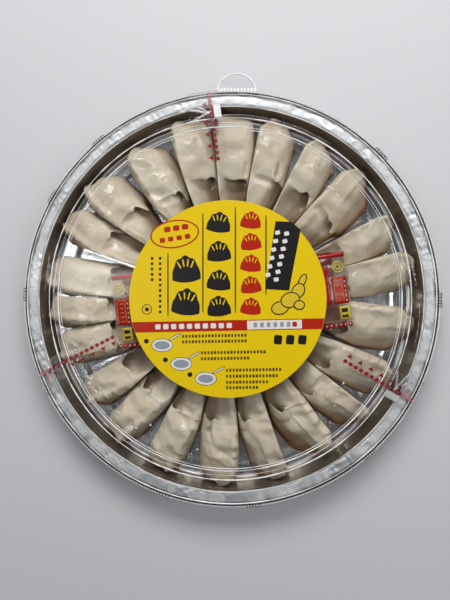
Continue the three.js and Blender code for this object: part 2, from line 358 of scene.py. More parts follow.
@dataclass(frozen=True)
class Foil:
    """Bright rolled aluminium foil, finely dented, with a painted reflection on its steep wall.

    Attributes:
        colour: Its colour on the floor and the rim.
        wall: Its colour on the steep wall, a painted reflection: a dull brown that stands in for the
            dumplings that the foil mirrors there.
        roughness: The least roughness.
        uneven: How much rougher the roughest places are.
        wall_rough: How much rougher the wall and the rim are.
        grain: How close together the dents lie.
        dent: Their depth in metres.
    """

    colour: Colour = (0.78, 0.79, 0.81)
    wall: Colour = (0.42, 0.37, 0.3)
    roughness: float = 0.2
    uneven: float = 0.12
    wall_rough: float = 0.3
    grain: float = 160
    dent: float = 0.00034

    def make(self) -> bpy.types.Material:
        """Builds the material from the shade held at the points: 1 on the wall, where it paints the brown
        reflection, and -1 on the rim.
        """
        nodes = Nodes("foil")
        shade = nodes.shade()
        dents = nodes.noise(self.grain, 3)
        rough = nodes.spread(nodes.noise(60, 2), 0.3, 0.7, self.roughness, self.roughness + self.uneven)
        steep = nodes.sums("ABSOLUTE", nodes.sums("MULTIPLY", shade, self.wall_rough))
        rough = nodes.sums("ADD", rough, steep)
        shader = nodes.add(
            "BsdfPrincipled",
            {
                # Painted reflection: the wall's shade blends the foil towards a dull brown.
                "Base Color": nodes.blend(shade, self.colour, self.wall),
                "Metallic": 1.0,
                "Roughness": rough,
                "Normal": nodes.bump(dents, self.dent, 0.5),
            },
        )
        return nodes.finish(shader)


@dataclass(frozen=True)
class ClearPlastic:
    """Thin clear plastic: mostly open to light, with gloss that grows towards the edge of view.

    Attributes:
        name: The material's name.
        tint: What it lets through.
        roughness: How soft its gloss is.
        facing: How much it shines where it faces the view.
        edge: How much more it shines where it is steep to the view.
        painted_dark: Painted shade: what it lets through where the shade is -1, dark as an edge seen end-on.
        painted_highlight: How much white it paints where the shade is 1, a painted highlight.
    """

    name: str = "clear_plastic"
    tint: Colour = (0.97, 0.975, 0.98)
    roughness: float = 0.07
    facing: float = 0.22
    edge: float = 0.55
    painted_dark: Colour = (0.12, 0.12, 0.13)
    painted_highlight: float = 0.75

    def make(self) -> bpy.types.Material:
        """Builds the material: transparent, and glossy by Fresnel and a share for steep faces.

        Only the outer side of each wall is glossy. The shade held at the points paints a white highlight
        where it is above 0, as on a thick bead, and paints shade where it is below 0, dark as an edge seen
        end-on.
        """
        nodes = Nodes(self.name)
        shade = nodes.shade()
        layer = nodes.add("LayerWeight", {"Blend": self.facing})
        steep = nodes.spread(layer.outputs["Facing"], 0.25, 1.0, 0.0, self.edge)
        total = nodes.sums("ADD", layer.outputs["Fresnel"], steep, clamp=True)
        inside = nodes.add("NewGeometry").outputs["Backfacing"]
        share = nodes.sums("MULTIPLY", total, nodes.spread(inside, 0, 1, 1, 0))
        # Painted shade: where the points hold -1, the light let through darkens, as on an edge seen end-on.
        tint = nodes.blend(nodes.spread(shade, 0, -1, 0, 1), self.tint, self.painted_dark)
        clear = nodes.add("BsdfTransparent", {"Color": tint})
        # Painted highlight: a white diffuse share mixed in where the points hold shade above 0.
        painted_highlight = nodes.add("BsdfDiffuse", {"Color": (1.0, 1.0, 1.0)})
        highlight_share = nodes.spread(shade, 0, 1, 0, self.painted_highlight)
        body = nodes.add("MixShader", {0: highlight_share, 1: clear.outputs[0], 2: painted_highlight.outputs[0]})
        gloss = nodes.add("BsdfAnisotropic", {"Color": (1.0, 1.0, 1.0), "Roughness": self.roughness})
        inputs = {0: share, 1: body.outputs[0], 2: gloss.outputs[0]}
        return nodes.finish(nodes.add("MixShader", inputs))


@dataclass(frozen=True)
class Dough:
    """Raw moist wheat dough over filling: grey cream, painted browner where shade falls in its hollows, a
    little translucent.
    """

    light: Colour = linear(224, 213, 192)
    warm: Colour = linear(214, 198, 170)
    # Painted shade: the brown that stands for shadow in hollows, on flanks turned from the light and far out
    # under the lid's rim.
    hollow: Colour = linear(134, 97, 65)

    def make(self) -> bpy.types.Material:
        """Builds the material from the painted shade held at the points: 0 on the backs, 1 deep in a hollow,
        where the dough is painted brown as shadow.
        """
        nodes = Nodes("dough")
        patches = nodes.spread(nodes.noise(70, 3), 0.35, 0.7)
        skin = nodes.blend(nodes.spread(patches, 0, 1, 0, 0.55), self.light, self.warm)
        # Painted shade: the skin darkens to brown by the shade held at the points.
        colour = nodes.blend(nodes.spread(nodes.shade(), 0.0, 1.0), skin, self.hollow)
        lumps = nodes.noise(420, 3)
        moist = nodes.spread(nodes.noise(130, 2), 0.4, 0.65, 0.4, 0.62)
        shader = nodes.add(
            "BsdfPrincipled",
            {
                "Base Color": colour,
                "Roughness": moist,
                "IOR": 1.42,
                "Specular IOR Level": 0.4,
                "Subsurface Weight": 0.35,
                "Subsurface Radius": (1.0, 0.62, 0.36),
                "Subsurface Scale": 0.003,
                "Coat Weight": nodes.spread(nodes.noise(150, 2), 0.48, 0.6, 0.08, 0.9),
                "Coat Roughness": 0.1,
                "Normal": nodes.bump(lumps, 0.00018, 0.6),
            },
        )
        return nodes.finish(shader)


@dataclass(frozen=True)
class Ink:
    """A plain print or a plain film, with its gloss."""

    name: str
    colour: Colour
    roughness: float = 0.4
    gloss: float = 0.3

    def make(self) -> bpy.types.Material:
        """Builds the material."""
        nodes = Nodes(self.name)
        inputs = {"Base Color": self.colour, "Roughness": self.roughness, "Specular IOR Level": self.gloss}
        return nodes.finish(nodes.add("BsdfPrincipled", inputs))


# The tray


@dataclass
class Tray:
    """The pressed foil tray: a flat floor, a low shelf, fluted walls and a rim with crinkled patches.

    Attributes:
        path: Corners of the upper face's section, as radius and height.
        floor_wall: Thickness of the floor.
        rim_wall: Thickness of the wall and the rim.
        columns: Number of points round it.
        flutes: Number of flutes in the wall.
        flute_depth: How far a flute moves the wall outwards.
        spokes: Number of low spokes pressed into the floor.
        spoke_height: Their height.
        rim_middle: Radius of the middle of the rim.
        creases: Number of creases round the rim.
    """

    path: tuple[tuple[float, float], ...] = (
        (0.6, 0.8),
        (55.0, 0.8),
        (106.6, 0.8),
        (109.0, 2.4),
        (118.2, 2.4),
        (120.9, 4.4),
        (122.5, 18.8),
        (122.9, 20.0),
        (125.4, 20.2),
        (128.6, 20.0),
        (130.3, 19.2),
        (130.3, 17.6),
    )
    floor_wall: float = 0.8
    rim_wall: float = 0.35
    columns: int = 720
    flutes: int = 132
    flute_depth: float = 0.3
    spokes: int = 96
    spoke_height: float = 0.22
    rim_middle: float = 126
    creases: int = 170

    def rows(self) -> np.ndarray:
        """The upper face's path, with points close enough together for the dents."""
        path = rounded(self.path)
        run = np.append(0, np.cumsum(np.linalg.norm(np.diff(path, axis=0), axis=1)))
        floor, rim = np.linspace(0.45, 0.92, 15), np.linspace(0.925, 1, 10)
        fine = np.unique(np.concatenate([run, run[-1] * floor, run[-1] * rim]))
        return np.stack([np.interp(fine, run, path[:, k]) for k in range(2)], 1)

    def face(self, path: np.ndarray, angles: np.ndarray) -> np.ndarray:
        """One face with its dents.

        The wall moves outwards by the size of a sine for each flute, and the floor rises by that of a sine
        for each spoke, to the power 0.6. The rim rises and falls by a wave for each crease and by small
        lumps, most in the patches where a slow wave is high.

        Args:
            path: Points of radius and height.
            angles: Angles in radians.

        Returns:
            Array of rows, angles and x, y, z.
        """
        radius, height = path[:, :1], path[:, 1:2]
        on_wall = ramp(height, 3.5, 7.0) * (1 - ramp(height, 16.5, 19.0)) * (radius > 119)
        on_rim = ramp(radius, 122.8, 124.0) * (1 - ramp(radius, 128.8, 130.0))
        on_floor = ramp(radius, 60, 75) * (1 - ramp(radius, 100, 106))
        flute = np.abs(np.sin(self.flutes * angles / 2))
        spoke = np.abs(np.sin(self.spokes * angles / 2)) ** 0.6
        sweep = np.stack([np.cos(angles), np.sin(angles), 0 * angles], -1)
        middle, place = sweep * self.rim_middle, sweep * radius[:, None]
        patch = ramp(ripple(middle, 42, 3), -0.1, 0.35)
        wave = np.sin(self.creases * angles + 5 * ripple(middle, 11, 5))
        crease = 0.8 * wave + 1.2 * ripple(place, 3.4, 7)
        edge = 0.10 * ripple(place, 6, 11)
        shift_out = self.flute_depth * on_wall * flute
        shift_up = on_rim * ((0.07 + 0.24 * patch) * crease + edge)
        shift_up = shift_up + self.spoke_height * on_floor * spoke
        return revolved(np.stack([radius + shift_out, height + shift_up], -1), angles)

    def build(self) -> None:
        """Makes the tray as one closed sheet. Its shade is 1 on the wall, where the foil gets a painted
        reflection, and -1 on the rim.
        """
        angles = np.linspace(0, TURN, self.columns, endpoint=False)
        upper = self.rows()
        wall = mix(self.floor_wall, self.rim_wall, ramp(upper[:, 0], 108, 121))
        lower = other_face(upper, wall)
        lower[0, 0] = upper[0, 0]
        grid = np.vstack([self.face(upper, angles), self.face(lower, angles)[::-1]])
        grid[..., 2] = np.maximum(grid[..., 2], 0.0)
        radius = np.linalg.norm(grid[..., :2], axis=-1)
        # Shade 1 on the steep wall paints a brown reflection into the foil; -1 on the rim.
        shade = ramp(radius, 117, 121) * (1 - ramp(grid[..., 2], 18.5, 19.6)) - ramp(radius, 122.6, 123.2)
        tray = closed_grid(grid, shade=shade)
        make_piece("tray_foil", [tray], Foil().make(), ["tray"])


# The dumplings


@dataclass(frozen=True)
class DumplingForm:
    """One dumpling's own sizes, in millimetres and degrees.

    Attributes:
        node: The CAD node that it stands for.
        axis: Angle of its length.
        start: Angle at which its sector starts, clockwise of it.
        end: Angle at which its sector ends, counter-clockwise of it.
        reach: Radius of the outer end.
        hood: Radius of the hood's edge.
        skirt: Width of the low flap on the clockwise side.
        pleat: Depth of the pleats.
        arch: How far the hood's edge is hollowed between its corners.
        corner: How far the hood's clockwise corner stands inwards.
        slit: Depth of a narrow groove behind the hood's edge.
        blunt: Width of the outer end, as a share of the whole.
        opens: Section angle near which the hood's opening starts; it closes between 158 and 180.
        depth: How far the opening runs back under the hood.
        lean: How far the back narrows towards the seam at the outer end, as a share of half the width, or
            away from the seam where it is below 0.
        roll: How round the section is, from 0 for a squared one to 1 for an ellipse.
        seed: Picks its pleats and lumps.
    """

    node: str
    axis: float
    start: float
    end: float
    reach: float
    hood: float
    skirt: float = 0.0
    pleat: float = 0.6
    arch: float = 4.0
    corner: float = 3.0
    slit: float = 0.0
    blunt: float = 0.7
    opens: float = 84.0
    depth: float = 5.0
    lean: float = 0.3
    roll: float = 0.6
    seed: int = 1


@dataclass
class Dumpling:
    """Builds a folded dumpling from its form.

    Its own frame has +X outwards along the dumpling and +Y to the seam's side. The section angle runs from
    -90 under the sole through 0 on the seam's side, 90 on the back and 180 on the far side.

    Attributes:
        form: Its own sizes.
        tail: Radius of its inner end.
        crest: Height of its back.
        half_width: Half its width before its sector narrows it.
        gap: Room between two dumplings.
        base: Height of its sole over the floor's underside.
        columns: Number of points round a section.
        end_room: Length of the rounded outer end.
        tail_room: Length of the rounded inner end.
        lip: How far the hood's edge bulges inwards.
        bend: Half the length over which tail turns into body beside the opening.
        shelf: True where it lies as a spoke, with its outer end on the tray's shelf.
    """

    form: DumplingForm
    tail: float = 56.0
    crest: float = 21.8
    half_width: float = 13.2
    gap: float = 0.35
    base: float = 1.1
    columns: int = 112
    end_room: float = 3.6
    tail_room: float = 2.4
    lip: float = 1.1
    bend: float = 2.2
    shelf: bool = True

    def sole(self, x: np.ndarray) -> np.ndarray:
        """Height of the underside: level, up over the tray's shelf, and lifted at its wall."""
        if not self.shelf:
            return np.full_like(x, self.base)
        return self.base + 2.1 * ramp(x, 101.5, 106.5) + 3 * ramp(x, 112, 120)

    def rows(self) -> dict[str, np.ndarray]:
        """The rows from the tail to the outer end.

        Returns:
            For each row: how far along it lies, from 0 to 1 on the tail and 1 to 2 on the body; the fold's
            swing outwards behind the hood and inwards at its lip; the weight of the body's section against
            the tail's; how wide the rounded ends are and how far out they reach; and where it lies across
            the hood's edge, from -1 to 1.
        """
        tail, under, lip, body, end = 34, 16, 10, 74, 9
        thick = 0.84
        zero = np.zeros
        low = np.radians(np.linspace(-90, 90, under, endpoint=False))
        rim = np.radians(np.linspace(-90, 90, lip, endpoint=False))
        starting = np.radians(np.linspace(6, 82, end))
        ending = np.radians(np.linspace(8, 84, end))
        along = np.concatenate(
            [
                zero(end),
                np.linspace(0, 1, tail, endpoint=False),
                np.ones(under + lip),
                1 + np.linspace(0, 1, body + 1)[1:],
                2 * np.ones(end),
            ]
        )
        swing = np.concatenate([zero(end + tail), np.cos(low), zero(lip + body + end)])
        nose = np.concatenate([zero(end + tail + under), np.cos(rim), zero(body + end)])
        rising = thick * (1 + np.sin(low)) / 2
        rounding = thick + (1 - thick) * (1 + np.sin(rim)) / 2
        weight = np.concatenate([zero(end + tail), rising, rounding, np.ones(body + end)])
        between = tail + under + lip + body
        closing = np.concatenate([np.sin(starting), np.ones(between), np.cos(ending)])
        beyond = np.concatenate([-np.cos(starting), zero(between), np.sin(ending)])
        over = np.concatenate([-np.ones(end + tail), np.linspace(-1, 1, under + lip), np.ones(body + end)])
        return {
            "along": along,
            "swing": swing,
            "nose": nose,
            "weight": weight,
            "closing": closing,
            "beyond": beyond,
            "over": over,
        }

    def surface(self) -> Surface:
        """The whole skin.

        Along the back the rows run inwards to outwards, but behind the hood's edge they first swing out
        under it and return, so that the edge overhangs. At the ridge and the sides they run straight. The
        sections are squared circles with the ridge added, and pleats, lumps and a slit move the skin along
        its own normal.

        Returns:
            The closed surface, turned to its place in the pack.
        """
        form = self.form
        rows = {key: value[:, None] for key, value in self.rows().items()}
        s = np.linspace(0, 1, self.columns, endpoint=False)
        phi = (-90 + 360 * (s + 0.06 * np.sin(TURN * s)))[None, :]
        length = form.reach - self.tail

        opens = form.opens
        fold = ramp(phi, opens - 6, opens + 14) * (1 - ramp(phi, 158, 180))
        hollow = hump(phi, opens + 28, 22)
        edge = form.hood + form.arch * hollow - form.corner * hump(phi, 150, 15)
        edge = mix(form.hood + 1.0, edge, fold)
        inner, outer = self.tail + self.tail_room, form.reach - self.end_room
        step = np.clip(rows["along"] - 1, 0, 1)
        near = self.bend * (1 - fold)
        ahead, behind = edge - near, edge + near
        x = np.where(rows["along"] < 1, mix(inner, ahead, rows["along"]), mix(behind, outer, step))
        x = np.where(rows["along"] == 1, edge + near * rows["over"], x)
        x = x + fold * (form.depth * rows["swing"] - self.lip * rows["nose"])
        x = x + rows["beyond"] * np.where(rows["beyond"] > 0, self.end_room, self.tail_room)

        t = (x - self.tail) / length
        mouth = (form.hood - self.tail) / length
        back = np.clip((t - mouth) / (1 - mouth), 0, 1)
        straight = ramp(t, mouth - 0.07, mouth + 0.05)
        weight = mix(straight, rows["weight"], fold)

        plan = mix(0.62, 1.0, ramp(t, 0, 0.34)) * mix(1.0, form.blunt, ramp(t, 0.84, 1))
        half = self.half_width * plan
        sole = self.sole(x)
        floor = mix(7.0, 11.5, ramp(t, 0, mouth))
        back_top = self.crest - 1.8 * (1 - ramp(back, 0, 0.35)) - (self.crest - 13.0) * back**3.4
        top = mix(floor, back_top, weight)
        tail_ridge = mix(12.0, self.crest - 0.9, ramp(t, -0.42, mouth + 0.02))
        ridge_top = mix(tail_ridge, back_top + 0.9, weight)
        middle = mix(sole, top, 0.42)

        angle = np.radians(phi)
        up = np.sin(angle)
        high = np.maximum(up, 0)
        flat_ridge = ramp(phi, 28, 46) * (1 - ramp(phi, opens - 24, opens + 12))
        ridge = mix(flat_ridge, hump(phi, 56, 22), weight)
        y = half * signed_power(np.cos(angle), mix(0.6, 0.95, form.roll * weight)) + 0.8 * high * weight
        shoulder = ramp(phi, 84, 120) * (1 - ramp(phi, 158, 196))
        if form.lean < 0:
            shoulder = ramp(phi, -16, 22) * (1 - ramp(phi, 66, 104))
        taper = shoulder * mix(0.15, 1.0, back) + 0.35 * ramp(back, 0.2, 1.0)
        y = y + form.lean * half * taper * weight
        lower = middle - (middle - sole) * np.maximum(-up, 0) ** 0.35
        z = np.where(up > 0, middle + (top - middle) * high ** mix(0.72, 0.95, form.roll), lower)
        z = z - 2.2 * abs(form.lean) * shoulder * weight * ramp(back, 0.1, 0.8)
        z = z + np.maximum(ridge_top - z, 0) * ridge * ramp(phi, 20, 40)
        z = z + 1.8 * hump(phi, 134, 22) * (1 - weight) * ramp(t, 0.05, mouth - 0.08)
        tip = ramp(t, 0.84, 1.0) * hump(phi, 50, 34)
        x = x + 2.0 * tip
        z = z + 1.6 * tip
        flap = ramp(t, 0.3, 0.5) * (1 - ramp(t, 0.78, 0.97))
        y = y - form.skirt * hump(phi, 194, 22) * flap

        y = y * rows["closing"]
        centre = mix(sole, top, 0.5)
        z = centre + (z - centre) * rows["closing"]
        points = np.stack(np.broadcast_arrays(x, y, z), -1).copy()
        points = self.dressed(points, phi, back, weight)
        shade = self.shade(points, weight, t, mouth, phi)
        place = np.radians(form.axis)
        turned = points.copy()
        turned[..., 0] = points[..., 0] * np.cos(place) - points[..., 1] * np.sin(place)
        turned[..., 1] = points[..., 0] * np.sin(place) + points[..., 1] * np.cos(place)
        return closed_grid(turned, shade=shade)

    def dressed(
        self, points: np.ndarray, phi: np.ndarray, back: np.ndarray, weight: np.ndarray
    ) -> np.ndarray:
        """Adds the pleats, the lumps and the slit, and keeps the skin inside its sector.

        The pleats are a saw-tooth along the ridge, and the dents a slanting wave on the back beside it. The
        skin bends softly to the sector's sides, by a hyperbolic tangent.

        Args:
            points: Places on the plain skin, in the dumpling's own frame.
            phi: The section angles in degrees.
            back: How far along the body each place lies, from 0 to 1.
            weight: The weight of the body's section against the tail's.

        Returns:
            The places on the dressed skin.
        """
        form = self.form
        along = np.gradient(points, axis=0)
        around = np.roll(points, -1, 1) - np.roll(points, 1, 1)
        normal = np.cross(along, around)
        normal /= np.linalg.norm(normal, axis=-1, keepdims=True) + 1e-9
        outwards = points - points.mean(1, keepdims=True)
        normal *= np.sign((normal * outwards).sum(-1, keepdims=True).mean())
        random = np.random.default_rng(form.seed)
        shift, other = random.uniform(0, 1, 2)
        run = points[..., 0] + 1.6 * np.sin(points[..., 0] / 5 + 6 * shift)
        upper = ramp(phi, 5, 40) * (1 - ramp(phi, 150, 185))
        fade = ramp(back, 0.0, 0.08) * (1 - ramp(back, 0.9, 1.0)) * (weight > 0.99)
        pleats = (run / 7.8 + shift + phi / 500) % 1.0
        step = ramp(pleats, 0.0, 0.7) * (1 - ramp(pleats, 0.72, 1.0)) - 0.5
        dents = 0.5 + 0.5 * np.sin(TURN * (run / 11.5 + other) + np.radians(phi) * 2.6)
        broad = 0.6 + 0.4 * ripple(points, 26.0, form.seed + 20)
        move = form.pleat * fade * (1.4 * step * hump(phi, 40, 17) - 1.25 * broad * dents * hump(phi, 84, 22))
        move = move + (0.25 + 0.4 * form.pleat) * ripple(points, 13.0, form.seed) * upper
        move = move + 0.16 * form.pleat * ripple(points, 6.5, form.seed + 60) * upper
        move = move + 0.05 * ripple(points, 3.6, form.seed + 40) * upper
        groove = hump(phi, 122, 7.5) * (1 - ramp(back, 0.12, 0.36)) * (weight > 0.8)
        move = move - form.slit * groove
        points = points + normal * move[..., None]
        x, y = points[..., 0], points[..., 1]
        if self.shelf:
            counter = x * math.tan(math.radians(form.end - form.axis)) - self.gap / 2
            clockwise = x * math.tan(math.radians(form.axis - form.start)) - self.gap / 2
        else:
            counter = clockwise = np.full_like(x, form.end)
        soft = 1.2
        high, low = counter - soft, soft - clockwise
        y = np.where(y > high, high + soft * np.tanh((y - high) / soft), y)
        y = np.where(y < low, low + soft * np.tanh((y - low) / soft), y)
        z = np.maximum(points[..., 2], self.sole(x))
        return np.stack([x, y, z], -1)

    def shade(
        self, points: np.ndarray, weight: np.ndarray, t: np.ndarray, mouth: float, phi: np.ndarray
    ) -> np.ndarray:
        """The painted shade, as how brown the dough is: low on the sides, on the flank in shadow, under the
        hood, and far out.

        Args:
            points: Places on the skin, in the dumpling's own frame.
            weight: The weight of the body's section against the tail's.
            t: How far along the dumpling each place lies, from 0 to 1.
            mouth: Where the hood's edge lies on that scale.
            phi: The section angles in degrees.

        Returns:
            One value for each place, between 0 and 1.
        """
        # Painted shade: each term browns the dough where shadow falls, low down, under the hood, on the flank
        # turned from the key light, and far out under the lid's rim.
        low = 1 - ramp(points[..., 2], 2, 16)
        opens = self.form.opens
        pocket = (1 - weight) * ramp(t, mouth - 0.45, mouth) * ramp(phi, opens - 10, opens + 26)
        lean = self.form.lean
        flank = ramp(phi, 142, 174) * (0.12 + 0.55 * max(lean, 0))
        flank = flank + (1 - ramp(phi, 2, 34)) * (0.2 + 0.6 * max(-lean, 0))
        flank = flank * ramp(t, 0.2, 0.5)
        outer = 0.4 * ramp(points[..., 0], 101, 119)
        return np.clip(0.62 * low + 0.62 * pocket + flank + outer, 0, 1)


@dataclass
class DumplingRing:
    """The 22 dumplings laid as spokes, and the four side by side in the middle.

    Attributes:
        pitch: Distance between two in the middle.
        room: Half the room between them.
        spokes: One row of sizes for each spoke.
    """

    pitch: float = 22.4
    room: float = 0.175
    spokes: tuple[tuple[float, ...], ...] = (
        # axis, sector end, reach, hood, skirt, pleat, arch, corner, slit, blunt, opens, depth, lean, roll
        (9.0, 15.6, 119.4, 75.0, 0, 0.6, 3, 2, 0, 0.75, 90, 4, 0.25, 0.6),
        (22.7, 28.8, 114.5, 75.0, 0, 0.7, 3, 2, 0, 0.7, 90, 4, 0.3, 0.6),
        (40.9, 48.5, 117.5, 80.6, 4, 0.3, 2, 3, 0, 0.6, 100, 6, 0.45, 0.6),
        (56.8, 63.3, 116.5, 79.5, 0, 0.3, 5, 5, 0, 0.62, 88, 7, 0.3, 0.4),
        (72.7, 79.8, 119.4, 79.0, 0, 0.25, 2, 0, 3.5, 0.55, 112, 8, 0.25, 0.35),
        (87.8, 94.9, 118.5, 75.5, 0, 0.3, 2, 3, 1.5, 0.9, 82, 4.5, 0.0, 0.1),
        (102.9, 110.1, 119.2, 76.6, 0, 0.3, 2.5, 4, 0, 0.88, 90, 6, 0.0, 0.15),
        (120.1, 129.0, 115.5, 74.3, 4, 0.5, 3, 6, 0, 0.66, 100, 6, 0.25, 0.6),
        (140.5, 147.0, 118.5, 82.5, 5, 0.45, 3, 6, 0, 0.66, 98, 6, -0.2, 0.6),
        (155.3, 160.9, 119.4, 84.5, 0, 0.45, 3, 6, 0, 0.7, 98, 6, -0.4, 0.7),
        (172.1, 178.9, 119.4, 76.0, 0, 0.3, 3, 2, 0, 0.84, 96, 4, -0.15, 0.5),
        (184.4, 190.7, 118.5, 76.0, 0, 0.6, 3, 2, 0, 0.78, 96, 4, -0.35, 0.8),
        (197.6, 208.6, 116.5, 76.0, 0, 0.7, 3, 2, 0, 0.72, 96, 4, -0.3, 0.8),
        (215.9, 222.9, 114.0, 77.0, 0, 0.9, 4, 4, 0, 0.7, 84, 6, -0.45, 0.8),
        (232.1, 241.6, 118.0, 75.8, 0, 0.9, 4, 4, 0, 0.66, 98, 7, -0.5, 0.8),
        (249.2, 257.7, 119.2, 75.7, 0, 1.0, 4, 4, 0, 0.7, 102, 7, -0.3, 0.8),
        (266.2, 274.6, 119.4, 76.4, 0, 1.0, 3, 2, 4.5, 0.76, 92, 7, 0.2, 0.6),
        (283.1, 289.4, 119.4, 76.3, 0, 1.0, 4, 4, 0, 0.7, 104, 7, 0.5, 0.7),
        (299.4, 308.0, 115.5, 76.7, 3, 1.1, 4, 5, 0, 0.62, 96, 7, 0.8, 0.8),
        (315.7, 322.2, 115.0, 78.9, 0, 0.9, 4, 5, 0, 0.66, 106, 7, 0.7, 0.8),
        (330.8, 339.2, 116.0, 74.4, 0, 0.7, 4, 4, 0, 0.7, 96, 6, 0.45, 0.7),
        (349.9, 360.5, 118.5, 75.0, 4, 0.7, 4, 3, 0, 0.66, 94, 5, 0.35, 0.7),
    )

    def build(self) -> None:
        """Makes every dumpling as its own piece."""
        dough = Dough().make()
        for i, (axis, end, *rest) in enumerate(self.spokes):
            start = self.spokes[i - 1][1] - (360 if i == 0 else 0)
            form = DumplingForm(f"gyoza_{i + 1:02d}", axis, start, end, *rest, seed=i + 1)
            tail = 56 + 1.4 * math.sin(1.7 * i + 1)
            crest = 21.8 + 0.8 * math.sin(2.3 * i)
            skin = Dumpling(form, tail=tail, crest=crest).surface()
            make_piece(f"{form.node}_skin", [skin], dough, [form.node])
        for i, place in enumerate((-1.5, -0.5, 0.5, 1.5)):
            half = 28.5 if abs(place) > 1 else 31.5
            side = self.pitch / 2 - self.room
            form = DumplingForm(f"gyoza_{23 + i}", 90.0, 0.0, side, half, -half + 20, pleat=1.0, seed=60 + i)
            skin = Dumpling(form, tail=-half, crest=21.2 - 0.4 * i, shelf=False).surface()
            skin.points[:, 0] += place * self.pitch
            make_piece(f"{form.node}_skin", [skin], dough, [form.node])


# The lid


